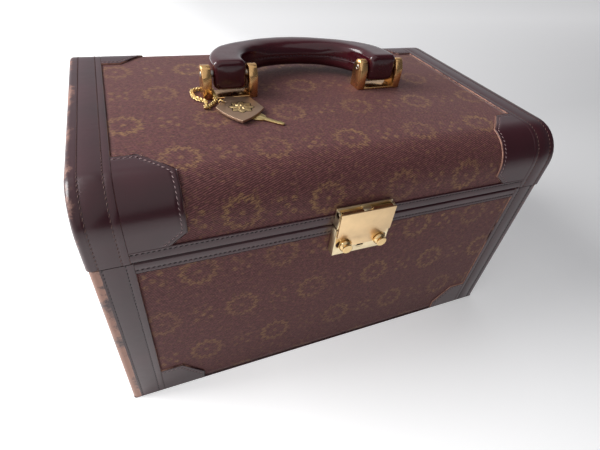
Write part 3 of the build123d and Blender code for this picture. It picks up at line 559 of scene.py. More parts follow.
def weld(piece, angle=35):
    """Merges doubles, points the faces of a closed shape outwards and keeps its sharp edges."""
    with net_of(piece.data) as net:
        bmesh.ops.remove_doubles(net, verts=net.verts, dist=MERGE)
        bmesh.ops.recalc_face_normals(net, faces=net.faces)
    return keep_sharp(piece, angle)


def eased(piece, width, segments=2, angle=30):
    """Rounds the edges of a rigid piece, as those of the real one are."""
    bevel = piece.modifiers.new("eased edges", "BEVEL")
    bevel.width = width
    bevel.segments = segments
    bevel.limit_method = "ANGLE"
    bevel.angle_limit = radians(angle)
    bevel.harden_normals = True
    return keep_sharp(apply_modifiers(piece), 40)


def hand_over(piece, body, slot, *nodes):
    """The piece rides on its body and stands for the nodes. The slot is not used."""
    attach(piece, body)
    if nodes:
        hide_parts(*nodes)
    return piece


def softened(node, name, material, width, segments=2):
    """A copy of a rigid CAD node with its edges eased."""
    mesh = bpy.data.meshes.new(name)
    with net_of(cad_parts[node].data, mesh) as net:
        bmesh.ops.remove_doubles(net, verts=net.verts, dist=MERGE)
        bmesh.ops.dissolve_limit(net, angle_limit=radians(1), verts=net.verts, edges=net.edges)
    mesh.materials.clear()
    mesh.materials.append(MATERIALS[material])
    mesh.shade_smooth()
    return eased(new_object(name, mesh), width, segments)


def finish_node(node, material):
    """Gives a CAD node its real finish."""
    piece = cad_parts[node]
    piece.data.materials.clear()
    piece.data.materials.append(MATERIALS[material])
    piece.data.shade_smooth()
    keep_sharp(piece, 35)


def loose_boxes(node):
    """The corners of each separate solid of a CAD node."""
    net = bmesh.new()
    net.from_mesh(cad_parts[node].data)
    bmesh.ops.remove_doubles(net, verts=net.verts, dist=MERGE)
    found, seen = [], set()
    for vertex in net.verts:
        if vertex in seen:
            continue
        group, edge = [], [vertex]
        seen.add(vertex)
        while edge:
            here = edge.pop()
            group.append(here.co.copy())
            others = [link.other_vert(here) for link in here.link_edges]
            edge += [other for other in others if other not in seen]
            seen.update(others)
        found.append([Vector([pick(point[i] for point in group) for i in range(3)]) for pick in (min, max)])
    net.free()
    return found


def spread(low, high, count):
    """Evenly spaced values from low to high."""
    return [low + (high - low) * i / count for i in range(count + 1)]


def quarter_turn(steps):
    """Sine and cosine at even steps of a quarter turn."""
    return [(sin(i / steps * pi / 2), cos(i / steps * pi / 2)) for i in range(steps + 1)]


def arc_line(centre, radius, start, end, count):
    """Points (u, v) along an arc, from a start angle to an end angle."""
    return [(centre[0] + radius * cos(turn), centre[1] + radius * sin(turn))
            for turn in spread(start, end, count)]


def unevenness(height, *place):
    """A slight random height at a place."""
    return height * noise.noise(Vector(place))


class Shape:
    """Points and faces that become one piece, with each point's wear or its place in the weave."""

    def __init__(self):
        self.points, self.faces, self.wear, self.weave = [], [], [], []

    def grid(self, rows, wear=(), weave=(), flip=False):
        """Adds rows of points with quads between them."""
        first, width = len(self.points), len(rows[0])
        self.points += [point for row in rows for point in row]
        self.wear += wear
        self.weave += weave
        for low in range(first, first + (len(rows) - 1) * width, width):
            quads = [(i, i + 1, i + 1 + width, i + width) for i in range(low, low + width - 1)]
            self.faces += [quad[::-1] for quad in quads] if flip else quads

    def cap(self, first, count, turn=1):
        """Closes a ring of points, seen from one side or, with -1, from the other."""
        self.faces.append(tuple(range(first, first + count))[::turn])

    def sides(self, first, count, rings):
        """Adds the quads between closed rings of points that follow each other."""
        for low in range(first, first + (rings - 1) * count, count):
            self.faces += [(low + i, low + (i + 1) % count, low + count + (i + 1) % count, low + count + i)
                           for i in range(count)]

    def prism(self, outline, axis, low, high):
        """Adds a straight prism along an axis. The outline is in the two axes that come next, in order."""
        first, count = len(self.points), len(outline)
        for level in (low, high):
            for u, v in outline:
                point = [level, u, v]
                self.points.append(point[-axis:] + point[:-axis])
        self.cap(first, count, -1)
        self.cap(first + count, count)
        self.sides(first, count, 2)

    def box(self, low, high):
        """Adds a plain box, to be given its rounded edges with the shapes around it."""
        x, y, z = zip(low, high)
        self.prism([(x[0], y[0]), (x[1], y[0]), (x[1], y[1]), (x[0], y[1])], 2, *z)

    def turned(self, profile, place, direction, count=32):
        """Adds a turned shape: its profile is (radius, distance) along a direction from a place."""
        turn = Vector(direction).to_track_quat("Z", "Y").to_matrix()
        first = len(self.points)
        for radius, distance in profile:
            for i in range(count):
                angle = 2 * pi * i / count
                spot = Vector((radius * cos(angle), radius * sin(angle), distance))
                self.points.append(Vector(place) + turn @ spot)
        self.sides(first, count, len(profile))
        self.cap(first, count, -1)
        self.cap(len(self.points) - count, count)

    def piece(self, name, material, smooth=True):
        """The gathered shape as a new object at the origin."""
        mesh = bpy.data.meshes.new(name)
        mesh.from_pydata(self.points, [], self.faces)
        mesh.materials.append(MATERIALS[material])
        if smooth:
            mesh.shade_smooth()
        else:
            mesh.shade_flat()
        if self.wear:
            mesh.attributes.new("wear", "FLOAT", "POINT").data.foreach_set("value", self.wear)
        if self.weave:
            layer = mesh.uv_layers.new(name="weave")
            for loop in mesh.loops:
                layer.data[loop.index].uv = self.weave[loop.vertex_index]
        return new_object(name, mesh)

    def cast(self, name, material, edge):
        """The gathered shape as a rigid piece with its edges eased."""
        return eased(weld(self.piece(name, material)), edge, angle=25)


def run_tree(name, made, values, points, edges, body, slot, *nodes):
    """Makes a mesh of points and edges, runs a node tree on it and keeps the result as a plain mesh."""
    mesh = bpy.data.meshes.new(name)
    mesh.from_pydata(points, edges, [])
    piece = new_object(name, mesh)
    modifier = piece.modifiers.new("nodes", "NODES")
    modifier.node_group, keys = made
    for label, value in values.items():
        modifier[keys[label]] = value
    return hand_over(apply_modifiers(piece), body, slot, *nodes)


def sew(name, lines, material, body, lean, slot="leather"):
    """Rows of stitches along lines of points."""
    points, edges = [], []
    for line in lines:
        start = len(points)
        points += [tuple(point) for point in line]
        edges += [(start + i, start + i + 1) for i in range(len(line) - 1)]
    values = {
        "Pitch": sizes().stitch_pitch, "Length": sizes().stitch_length, "Thread radius": sizes().thread,
        "Slant": STITCH_SLANT, "Lean": lean, "Seed": sizes().seed, "Material": MATERIALS[material]}
    run_tree(name, stitch_tree(), values, points, edges, body, slot)


# Outlines of the case and its borders

def lid_point(way, inset):
    """The point (y, z) at a distance along the lid from its front rim, at a depth under its surface."""
    low, radius = LID_BAND[0].z, LID_RADIUS - inset
    if way > LID_MIDDLE:
        y, z = lid_point(LID_WAY - way, inset)
        return (-y, z)
    if way < LID_SIDE:
        return (-LID_FLAT - radius, low + way)
    if way < LID_SIDE + LID_CORNER:
        turn = (way - LID_SIDE) / LID_RADIUS
        return (-LID_FLAT - radius * cos(turn), low + LID_SIDE + radius * sin(turn))
    return (-LID_FLAT + way - LID_SIDE - LID_CORNER, low + LID_SIDE + radius)


def lid_ways(start, end):
    """Distances along the lid from start to end, close together round the corners."""
    stops = [0, LID_SIDE, LID_SIDE + LID_CORNER, LID_WAY - LID_SIDE - LID_CORNER, LID_WAY - LID_SIDE, LID_WAY]
    steps = [SIDE_STEPS, ARC_STEPS, TOP_STEPS, ARC_STEPS, SIDE_STEPS]
    ways = [way for low, high, count in zip(stops, stops[1:], steps) for way in spread(low, high, count)[:-1]]
    return [start] + [way for way in ways if start + 1e-5 < way < end - 1e-5] + [end]


def lid_arch(inset, bottom):
    """Points (y, z) round the lid at a depth under the surface, from its front rim to its back rim."""
    points = []
    for way in lid_ways(0, LID_WAY):
        y, z = lid_point(way, inset)
        share = max(0.0, 1 - min(way, LID_WAY - way) / LID_SIDE)
        points.append((y, z + (bottom - LID_BAND[0].z) * share))
    return points


def border(inset, band, end, edge):
    """The level of an end border's low (0) or high (1) edge at an inset. Its corners are mitred."""
    radius = sizes().edge_radius
    share = max(0.0, inset - radius) / (END_BORDER - radius)
    return band[edge].z + share * (end[edge].z - band[edge].z)


def lid_leg(inset):
    return lid_arch(inset, border(inset, LID_BAND, LID_END, 0))


def strip(band, end, edge):
    """The level lines of an end border's strip, from front to back."""
    def line(inset):
        half = band[1].y - inset
        return [(y, border(inset, band, end, edge)) for y in spread(-half, half, 40)]
    return line


def base_leg(face):
    """The upright lines of a base band on its front or back leg."""
    def line(inset):
        low, high = (border(inset, BASE_BAND, BASE_END, edge) for edge in (0, 1))
        return [(face * (BASE_BAND[1].y - inset), z) for z in spread(low, high, 30)]
    return line


def seam_dip(distance, seam):
    """How far the leather sinks at a distance from a row of stitches."""
    return sizes().seam_depth * max(0.0, 1 - abs(distance - seam) / sizes().seam_width)


# Cloth

def ripple(x, s):
    """The slight unevenness of cloth over glue, in metres."""
    return unevenness(0.00012, x / 0.02, s / 0.02, 3.0)


def end_panel(body, outline, face_x):
    """The cloth of both end panels, inside their leather borders."""
    shape = Shape()
    for side in (-1, 1):
        shape.points += [(side * face_x, y, z) for y, z in outline]
        shape.weave += [(side * y, z) for y, z in outline]
        shape.cap(len(shape.points) - len(outline), len(outline))
    piece = thicken(shape.piece(f"{body}_end_cover_cloth", "cloth"), CLOTH, CENTRE)
    hand_over(piece, body, "cloth", f"{body}_end_cloth")
    pairs = zip(outline, outline[1:] + outline[:1])
    twice = sum(y * z_next - y_next * z for (y, z), (y_next, z_next) in pairs)


class VANITY_OT_cloth(bpy.types.Operator):
    """Cover the lid and the base with woven cloth"""

    bl_idname = "vanity.cloth"
    bl_label = "Cloth"

    def execute(self, context):
        shape = Shape()
        depth = LID_BAND[1].y - LID_CLOTH[1].y + SUNK
        half, columns = LID_CLOTH[1].x + UNDERLAP, 70
        xs, ways = spread(-half, half, columns), lid_ways(0, LID_WAY)
        shape.grid([[(x, *lid_point(way, depth + ripple(x, way))) for x in xs] for way in ways],
                   weave=[(x, way) for way in ways for x in xs])
        piece = thicken(shape.piece("lid_cover_cloth", "cloth"), CLOTH, LID_CENTRE, joined=True)
        hand_over(piece, "lid", "cloth", "lid_cloth")

        shape = Shape()
        half = BASE_CLOTH[1].x + UNDERLAP
        low, high = BASE_CLOTH[0].z, BASE_CLOTH[1].z - UNDERLAP
        xs, zs = spread(-half, half, columns), spread(low, high, 30)
        for side in (-1, 1):
            shape.grid([[(x, side * (BASE_CLOTH[1].y - SUNK - ripple(x, z)), z) for x in xs] for z in zs],
                       weave=[(side * -x, z - 0.14) for z in zs for x in xs])
        piece = thicken(shape.piece("base_cover_cloth", "cloth"), CLOTH, CENTRE)
        hand_over(piece, "base", "cloth", "base_cloth")

        end_panel("lid", lid_arch(END_BORDER - UNDERLAP, LID_END[0].z - 0.0002), LID_END[1].x - SUNK)
        y, low, high = BASE_END[1].y + UNDERLAP, BASE_END[0].z - UNDERLAP, BASE_END[1].z + UNDERLAP
        end_panel("base", [(-y, low), (-y, high), (y, high), (y, low)], BASE_END[1].x - SUNK)
        return {"FINISHED"}


# Leather trim

def band_section(band, rub):
    """Points (x, inset, wear) across a band: its cut edge, its face, its rounded edge and its end border."""
    inner, outer = band[0].x, band[1].x
    radius, width = sizes().edge_radius, sizes().seam_width
    points = [(inner + 0.00005, BAND_DEPTH, CUT_WEAR), (inner, 0.0008, CUT_WEAR)]
    points += [(inner + BAND_CUT * (1 - c), BAND_CUT * (1 - s), CUT_WEAR * c) for s, c in quarter_turn(3)]
    stops = [seam + shift for seam in LEG_SEAMS for shift in (-width, 0, width)]
    points += [(inner + stop, max(seam_dip(stop, seam) for seam in LEG_SEAMS), 0) for stop in stops]
    points.append((inner + stops[-1] + 0.0006, 0, 0.8 * rub))
    for i, (s, c) in enumerate(quarter_turn(8)):
        worn = rub * (0.9 + 0.4 * s * c if i < 4 else 2.2 * s * c)
        points.append((outer - radius * (1 - s), radius * (1 - c), worn))
    points += [(outer - seam_dip(stop, END_SEAM), stop, 0)
               for stop in (END_SEAM - width, END_SEAM, END_SEAM + width)]
    points += [(outer - BAND_CUT * (1 - c), END_BORDER - BAND_CUT * (1 - s), 0.2 * s)
               for s, c in quarter_turn(3)]
    return points + [(outer - BAND_DEPTH, END_BORDER, 0)]


def band_piece(body, word, side, section, legs, strips, centre):
    """One leather band: a leg or legs that wrap the case, and strips that close its end border."""
    low, face = sizes().edge_radius - 1e-7, section[-1][0] - 1e-5
    on_end = [point for point in section if point[1] >= low and point[0] > face]
    shape = Shape()
    for lines, part in ((legs, section), (strips, on_end)):
        for line in lines:
            rows = [[(side * x, y, z) for y, z in line(inset)] for x, inset, _ in part]
            shape.grid(rows, wear=[worn for _, _, worn in part for _ in rows[0]])
    piece = thicken(shape.piece(f"{body}_{word}_leather", "leather"), sizes().leather, centre, joined=True)
    hand_over(keep_sharp(piece, 50), body, "leather", f"{body}_{word}_band")


def rim_piece(body, box, seam, low_cut, high_cut):
    """The leather strips along a rim's front and back, folded over at the rim and sewn near the cloth."""
    low, high, half, width = box[0].z, box[1].z, box[1].x, sizes().seam_width
    section = [(low, low_cut + 0.0002)]
    section += [(low + low_cut * (1 - c), low_cut * (1 - s)) for s, c in quarter_turn(5)]
    section += [(seam - width, 0.0), (seam, sizes().seam_depth), (seam + width, 0.0)]
    section += [(high - high_cut * (1 - s), high_cut * (1 - c)) for s, c in quarter_turn(5)]
    section.append((high, high_cut + 0.0002))
    shape = Shape()
    waver = 0.00008
    for side in (-1, 1):
        shape.grid([[(x, side * (box[1].y - depth + unevenness(waver, x / 0.012, z / 0.01, side) - waver), z)
                     for x in spread(-half, half, 90)] for z, depth in section])
    piece = thicken(shape.piece(f"{body}_rim_leather", "leather"), STRIP_LEATHER, CENTRE)
    hand_over(keep_sharp(piece, 50), body, "leather", f"{body}_rim_strips")


def patch_outline(body):
    """The edge of a corner patch: on the lid (x, distance along the lid), on the base (x, z)."""
    if body == "lid":
        low, high = LID_PATCH[0].z - LID_BAND[0].z, LID_SIDE + LID_CORNER + 0.011
        outer, inner = LID_PATCH[1].x, LID_PATCH[1].x - 0.030
        return [(inner + 0.0095, low), (outer, low), (outer, high), (inner + 0.017, high),
                (inner, high - 0.0175), (inner, low + 0.0075)]
    low, high, outer, inner = BASE_PATCH[0].z, BASE_PATCH[1].z, BASE_PATCH[1].x, BASE_PATCH[1].x - 0.02925
    return [(inner, low), (outer, low), (outer, high), (inner + 0.0145, high), (inner, high - 0.0165)]


def patch_bends(body):
    """The four places of a patch, each as a function from the flat patch to the case."""
    bends = []
    for side in (-1, 1):
        for back in (False, True):
            def bend(u, v, depth, side=side, back=back):
                y, z = lid_point(v, depth) if body == "lid" else (-BASE_PATCH[1].y + depth, v)
                return (side * u, -y if back else y, z)
            bends.append(bend)
    return bends


def outline_edges(outline):
    """Each edge of an outline: its start, direction and outward normal, and whether it is free."""
    edges = []
    for index, (start, end) in enumerate(zip(outline, outline[1:] + outline[:1])):
        run = Vector(end) - Vector(start)
        edges.append((Vector(start), run.normalized(), Vector((run.y, -run.x)).normalized(),
                      index not in PATCH_HIDDEN))
    return edges


def patch_net(outline):
    """A flat net cut to a convex outline, with edge loops beside its free edges."""
    low, high = ([pick(point[i] for point in outline) for i in (0, 1)] for pick in (min, max))
    counts = [max(1, round((high[i] - low[i]) / PATCH_CELL)) for i in (0, 1)]
    net = bmesh.new()
    rows = [[net.verts.new((u, v, 0)) for u in spread(low[0], high[0], counts[0])]
            for v in spread(low[1], high[1], counts[1])]
    for row, above in zip(rows, rows[1:]):
        for i in range(counts[0]):
            net.faces.new((row[i], row[i + 1], above[i + 1], above[i]))
    for start, _, normal, free in outline_edges(outline):
        for depth in PATCH_LOOPS if free else PATCH_LOOPS[:1]:
            bmesh.ops.bisect_plane(
                net, geom=net.verts[:] + net.edges[:] + net.faces[:], dist=1e-7,
                plane_co=(start - normal * depth).to_3d(), plane_no=normal.to_3d(), clear_outer=depth == 0.0)
    net.verts.index_update()
    return net


def rim_drop(distance):
    """How far a patch lies under its face at a distance from its cut edge."""
    drop = 0.0
    if distance < PATCH_CUT:
        drop = PATCH_CUT - sqrt(max(0.0, PATCH_CUT ** 2 - (PATCH_CUT - distance) ** 2))
    if distance < 1e-6:
        drop = 0.0009
    return drop + seam_dip(distance, PATCH_SEAM)


def patch_piece(body, centre):
    """Four corner patches: nets, rounded and sunk by the distance from their free edges, bent to place."""
    outline = patch_outline(body)
    net = patch_net(outline)
    edges = [(start, normal) for start, _, normal, free in outline_edges(outline) if free]
    shape = Shape()
    for bend in patch_bends(body):
        first = len(shape.points)
        for vertex in net.verts:
            flat = vertex.co.to_2d()
            distance = min((start - flat).dot(normal) for start, normal in edges)
            shape.points.append(bend(flat.x, flat.y, rim_drop(distance)))
            shape.wear.append(CUT_WEAR * max(0.0, 1 - distance / PATCH_CUT))
        shape.faces += [tuple(first + vertex.index for vertex in face.verts) for face in net.faces]
    net.free()
    piece = thicken(shape.piece(f"{body}_patches_leather", "leather"), PATCH_LEATHER, centre)
    hand_over(keep_sharp(piece, 50), body, "leather", f"{body}_corner_patches")


def patch_seam(outline):
    """Points along the seam of a patch, beside its free edges."""
    lines = [(start - normal * (PATCH_SEAM if free else PATCH_UNDER), run)
             for start, run, normal, free in outline_edges(outline)]
    corners = []
    for (point, run), (other, other_run) in zip(lines[-1:] + lines[:-1], lines):
        corners.append(point + run * ((other - point).cross(other_run) / run.cross(other_run)))
    path = corners[2:] + corners[:1]
    found = [path[0]]
    for start, end in zip(path, path[1:]):
        count = max(1, round((end - start).length / PATCH_CELL))
        found += [start + (end - start) * (i + 1) / count for i in range(count)]
    return found


class VANITY_OT_leather(bpy.types.Operator):
    """Trim the case with leather bands, rim strips and corner patches"""

    bl_idname = "vanity.leather"
    bl_label = "Leather trim"

    def execute(self, context):
        for side, word, lid_rub, base_rub in ((-1, "left", 0.85, 1.9), (1, "right", 0.7, 0.95)):
            band_piece("lid", word, side, band_section(LID_BAND, lid_rub), [lid_leg],
                       [strip(LID_BAND, LID_END, 0)], LID_CENTRE)
            band_piece("base", word, side, band_section(BASE_BAND, base_rub), [base_leg(-1), base_leg(1)],
                       [strip(BASE_BAND, BASE_END, edge) for edge in (0, 1)], CENTRE)
        for rim in RIMS:
            rim_piece(*rim)
        patch_piece("lid", LID_CENTRE)
        patch_piece("base", CENTRE)
        cover = softened("bottom_cover", "bottom_leather", "leather", 0.0004)
        hand_over(cover, "base", "leather", "bottom_cover")
        return {"FINISHED"}


class VANITY_OT_stitches(bpy.types.Operator):
    """Sew the leather trim"""

    bl_idname = "vanity.stitches"
    bl_label = "Stitches"

    def execute(self, context):
        sunk = sizes().seam_depth * STITCH_SINK
        lid_lines, base_lines = [], []
        for side in (-1, 1):
            for seam in LEG_SEAMS:
                x = side * (LID_BAND[0].x + seam)
                ways = lid_ways(STITCH_START, LID_WAY - STITCH_START)
                lid_lines.append([(x, *lid_point(way, sunk)) for way in ways])
                x = side * (BASE_BAND[0].x + seam)
                for y in (sunk - BASE_BAND[1].y, BASE_BAND[1].y - sunk):
                    base_lines.append([(x, y, BASE_BAND[0].z + STITCH_START),
                                       (x, y, BASE_BAND[1].z - STITCH_START)])
            x = side * (LID_BAND[1].x - sunk)
            loop = lid_leg(END_SEAM)
            lid_lines.append([(x, y, z) for y, z in loop + loop[:1]])
            x, y = side * (BASE_BAND[1].x - sunk), BASE_BAND[1].y - END_SEAM
            low, high = (border(END_SEAM, BASE_BAND, BASE_END, edge) for edge in (0, 1))
            base_lines.append([(x, -y, low), (x, -y, high), (x, y, high), (x, y, low), (x, -y, low)])
        sew("lid_band_stitches", lid_lines, "red thread", "lid", (0.4, 0.0, 0.0))
        sew("base_band_stitches", base_lines, "dark thread", "base", (0.4, 0.0, 0.0))
        for body, box, seam, _, _ in RIMS:
            half, y = box[1].x - STITCH_START, box[1].y - sunk
            lines = [[(-half, face * y, seam), (half, face * y, seam)] for face in (-1, 1)]
            sew(f"{body}_rim_stitches", lines, "dark thread", body, (0.0, 0.0, 0.4))
        for body in ("lid", "base"):
            path = patch_seam(patch_outline(body))
            lines = [[bend(point.x, point.y, sunk) for point in path] for bend in patch_bends(body)]
            sew(f"{body}_patch_stitches", lines, "pale thread", body, (0.25, 0.0, 0.25))
        return {"FINISHED"}


# Handle. It leans back a little, its noses sit between the brackets' ears, and its seams are on its sides.
# Lengths lie in its own plane: its noses reach past the pins, and it is twice HANDLE_HALF thick.

HANDLE_LEAN = radians(1.5)
HANDLE_NOSE = 0.0060
HANDLE_HALF = 0.00975
LEG_HALF = 0.0110
INNER_EDGE = (0.0325, 0.0200, 0.0040)  # the rise of its crown, its corner's reach and its crown's fall
OUTER_EDGE = (0.0545, 0.0160, 0.0185)
LEG_SQUARENESS, CROWN_LOSS = 7.5, 5.2
LIP_FADE = 0.008
NOSE_ROUND = 0.0034
NOSE_STEPS = (0.0, 0.00012, 0.0004, 0.0009, 0.0016, 0.0025, NOSE_ROUND)
STITCH_LEVEL = -0.0004

# Level, lip and wear down the side of the handle. The upper leather laps over the lower one at the lip.
HANDLE_SIDE = (
    (0.0064, 0.0, 0.0), (0.0046, 0.0, 0.0), (0.0030, 0.0, 0.0), (0.0015, 0.0, 0.0), (0.0004, 0.0, 0.0),
    (STITCH_LEVEL, -0.0002, 0.0), (-0.0011, 0.0, 0.0), (-0.0016, 0.0001, 0.3), (-0.0019, 0.00025, 0.8),
    (-0.00215, 0.00015, 0.8), (-0.0023, -0.0004, 0.0), (-0.0030, -0.0003, 0.0), (-0.0042, -0.0001, 0.0),
    (-0.0055, 0.0, 0.0), (-0.0066, 0.0, 0.0))


def handle_edge(rise, corner, fall, leg):
    """Half of one edge of the handle in its own plane, from its leg's nose to the middle of its crown."""
    reach = leg - corner
    slope = 2 * atan2(fall, reach)
    radius = corner / (1 - sin(slope))
    crown = (reach ** 2 + fall ** 2) / (2 * fall)
    top = rise - fall - radius * cos(slope)
    points = [Vector((leg, step - HANDLE_NOSE)) for step in NOSE_STEPS]
    start = NOSE_ROUND - HANDLE_NOSE
    points += [Vector((leg, start + (top - start) * share)) for share in (0.5, 1.0)]
    for turn in spread(pi / 2, slope, 18)[1:]:
        points.append(Vector((leg - radius + radius * sin(turn), top + radius * cos(turn))))
    for i in range(1, 21):
        turn = slope * (1 - i / 20)
        points.append(Vector((crown * sin(turn), rise - crown + crown * cos(turn))))
    return points


def handle_stations():
    """Across the handle from its right nose to its left one: inner and outer edge, squareness and inset."""
    inner = handle_edge(*INNER_EDGE, HANDLE_X - LEG_HALF)
    outer = handle_edge(*OUTER_EDGE, HANDLE_X + LEG_HALF)
    bend, crown = len(NOSE_STEPS) + 2, len(inner) - 1
    stations = []
    for i, (near, far) in enumerate(zip(inner, outer)):
        inset = 0.0
        if i < len(NOSE_STEPS):
            inset = NOSE_ROUND - sqrt(max(0.0, NOSE_ROUND ** 2 - (NOSE_ROUND - NOSE_STEPS[i]) ** 2))
        share = min(1.0, max(0.0, (i - bend + 4) / (crown - bend - 8)))
        share = share * share * (3 - 2 * share)
        stations.append((near, far, LEG_SQUARENESS - CROWN_LOSS * share, inset))
    mirrored = [(Vector((-near.x, near.y)), Vector((-far.x, far.y)), power, inset)
                for near, far, power, inset in stations[:-1]]
    return stations + mirrored[::-1]


def handle_place(flat, level):
    """A point of the handle's own plane, at a level over it, in the case."""
    lean_in, lean_up = cos(HANDLE_LEAN), sin(HANDLE_LEAN)
    return Vector((flat.x, flat.y * lean_in + level * lean_up,
                   PIN_LEVEL - flat.y * lean_up + level * lean_in))


def bulge(half, thick, across, power):
    """The height of a rounded square of half its width and thickness, at a distance across it."""
    return thick * (1 - abs(across / half) ** power) ** (1 / power)


def handle_side(station, level, lip):
    """How far a station's side lies from its middle at a level, and that level as drawn in at the nose."""
    near, far, power, inset = station
    lip *= min(1.0, max(0.0, ((near.y + far.y) / 2 + HANDLE_NOSE - NOSE_ROUND) / LIP_FADE))
    thick = HANDLE_HALF - inset
    height = level * thick / HANDLE_HALF
    return bulge(thick, (far - near).length / 2 - inset, height, power) + lip, height


def handle_loop(station):
    """The ring of (distance across, level, wear) round a station."""
    near, far, power, inset = station
    half, thick = (far - near).length / 2 - inset, HANDLE_HALF - inset
    flat = bulge(1.0, half, 0.8, power)
    top = [(across, bulge(half, thick, across, power), 0.0) for across in spread(-flat, flat, 10)]
    side = [(*handle_side(station, level, lip), wear) for level, lip, wear in HANDLE_SIDE]
    under = [(across, -level, wear) for across, level, wear in reversed(top)]
    back = [(-across, level, wear) for across, level, wear in reversed(side)]
    return top + side + under + back


class VANITY_OT_handle(bpy.types.Operator):
    """Wrap the padded carrying handle in leather, with a lapped and sewn seam along both sides"""

    bl_idname = "vanity.handle"
    bl_label = "Handle"

    def execute(self, context):
        stations = handle_stations()
        frames = [((near + far) / 2, (far - near).normalized()) for near, far, _, _ in stations]
        shape = Shape()
        for index, (station, (middle, across)) in enumerate(zip(stations, frames)):
            loop = handle_loop(station)
            scales = [(1.0, 0.0)]
            if index in (0, len(stations) - 1):
                scales = [(0.3, 0.00025), (0.65, 0.00018), (1.0, 0.0)]
                if index:
                    scales.reverse()
            for scale, swell in scales:
                for distance, level, worn in loop:
                    flat = middle + across * distance * scale - Vector((0, swell))
                    point = handle_place(flat, level * scale)
                    crease = unevenness(0.00012, *(point / 0.009)) if scale == 1.0 else 0.0
                    shape.points.append(point + Vector((0, 0, crease)))
                    shape.wear.append(worn if scale == 1.0 else 0.0)
        count = len(loop)
        shape.sides(0, count, len(shape.points) // count)
        shape.cap(0, count)
        shape.cap(len(shape.points) - count, count, -1)
        piece = weld(shape.piece("handle_leather", "handle"), 60)
        hand_over(piece, "handle", "handle_leather", "handle_grip")

        lines = ([], [])
        nose = len(NOSE_STEPS) - 1
        for station, (middle, across) in zip(stations[nose:-nose], frames[nose:-nose]):
            distance, level = handle_side(station, STITCH_LEVEL, -0.0001)
            for sign, line in zip((-1, 1), lines):
                line.append(handle_place(middle + across * distance * sign, level))
        sew("handle_stitches", lines, "dark thread", "handle", (0.0, 0.0, 0.4), "handle_leather")
        finish_node("handle_core", "steel")
        return {"FINISHED"}


# Handle brackets and small fasteners

EAR = 0.006
FOOT, FOOT_LAP = 0.0016, 0.0006
EAR_PROFILE = ((-0.00625, 0.0), (-0.00625, 0.0146), (-0.0034, 0.0199), (-0.0016, 0.0212),
               (0.0016, 0.0212), (0.0034, 0.0199), (0.00625, 0.0146), (0.00625, 0.0))
PIN_CUP = [(0.0002, 0.0011), (0.0010, 0.0011), (0.0011, -0.0002), (0.0014, -0.0004), (0.0018, -0.0004),
           (0.0020, -0.0002)]
SCREW_PROFILE = [(0.0013, -0.0056), (0.0013, -0.0007), (0.0025, -0.0006), (0.0025, -0.0004)]
RIVET_PROFILE = [(0.0013, -0.0030), (0.0013, 0.0), (0.0026, 0.0), (0.0026, 0.0002), (0.0024, 0.0005),
                 (0.0018, 0.0008), (0.0010, 0.0010), (0.0003, 0.00105)]
SLOT_HALF = 0.0004


def screw_head():
    """A countersunk screw: two half moons on a disc leave the slot between them."""
    shape = Shape()
    shape.turned(SCREW_PROFILE, (0, 0, 0), (0, 0, 1), 16)
    radius = SCREW_PROFILE[-1][0]
    start = asin(SLOT_HALF / radius)
    for sign in (-1, 1):
        shape.prism([(u * sign, v * sign) for u, v in arc_line((0, 0), radius, start, pi - start, 8)],
                    2, -0.0005, -0.00002)
    return shape.piece("screw_head", "steel", smooth=False)


def rivet_head():
    """A domed rivet with its shank."""
    shape = Shape()
    shape.turned(RIVET_PROFILE, (0, 0, 0), (0, 0, 1), 20)
    return shape.piece("rivet_head", "steel")


def fasten(name, head, spots, facing, body, slot, node):
    """Sets a brass fastener at each spot, and clears its pattern away."""
    values = {"Head": head, "Facing": facing, "Seed": sizes().seed, "Material": MATERIALS["brass"]}
    piece = run_tree(name, fastener_tree(), values, spots, [], body, slot, node)
    bpy.data.objects.remove(head)
    keep_sharp(piece, 35)


class VANITY_OT_brackets(bpy.types.Operator):
    """Make the two brass clevis brackets of the handle, with their pins and screws"""

    bl_idname = "vanity.brackets"
    bl_label = "Handle brackets"

    def execute(self, context):
        foot = BRACKET[0].z
        reach = (BRACKET[1].x - BRACKET[0].x) / 2
        outline = [(y, foot + z) for y, z in EAR_PROFILE]
        pins = Shape()
        for side, word in ((-1, "left"), (1, "right")):
            shape = Shape()
            low, high = side * HANDLE_X - reach, side * HANDLE_X + reach
            shape.prism(outline, 0, low, low + EAR)
            shape.prism(outline, 0, high - EAR, high)
            shape.box((low + EAR - FOOT_LAP, BRACKET[0].y, foot),
                      (high - EAR + FOOT_LAP, BRACKET[1].y, foot + FOOT))
            piece = shape.cast(f"bracket_{word}", "amber", 0.0004)
            hand_over(piece, "lid", "brass", f"handle_bracket_{word}")
            profile = PIN_CUP + [(radius, 2 * reach - distance) for radius, distance in reversed(PIN_CUP)]
            pins.turned(profile, (low, 0, PIN_LEVEL), (1, 0, 0))
        hand_over(weld(pins.piece("hollow_pins", "steel")), "lid", "steel", "handle_pins")
        spots = [((low.x + high.x) / 2, (low.y + high.y) / 2, high.z)
                 for low, high in loose_boxes("bracket_screws")]
        fasten("slotted_screws", screw_head(), spots, (0, 0, 1), "lid", "steel", "bracket_screws")
        return {"FINISHED"}


# Lock

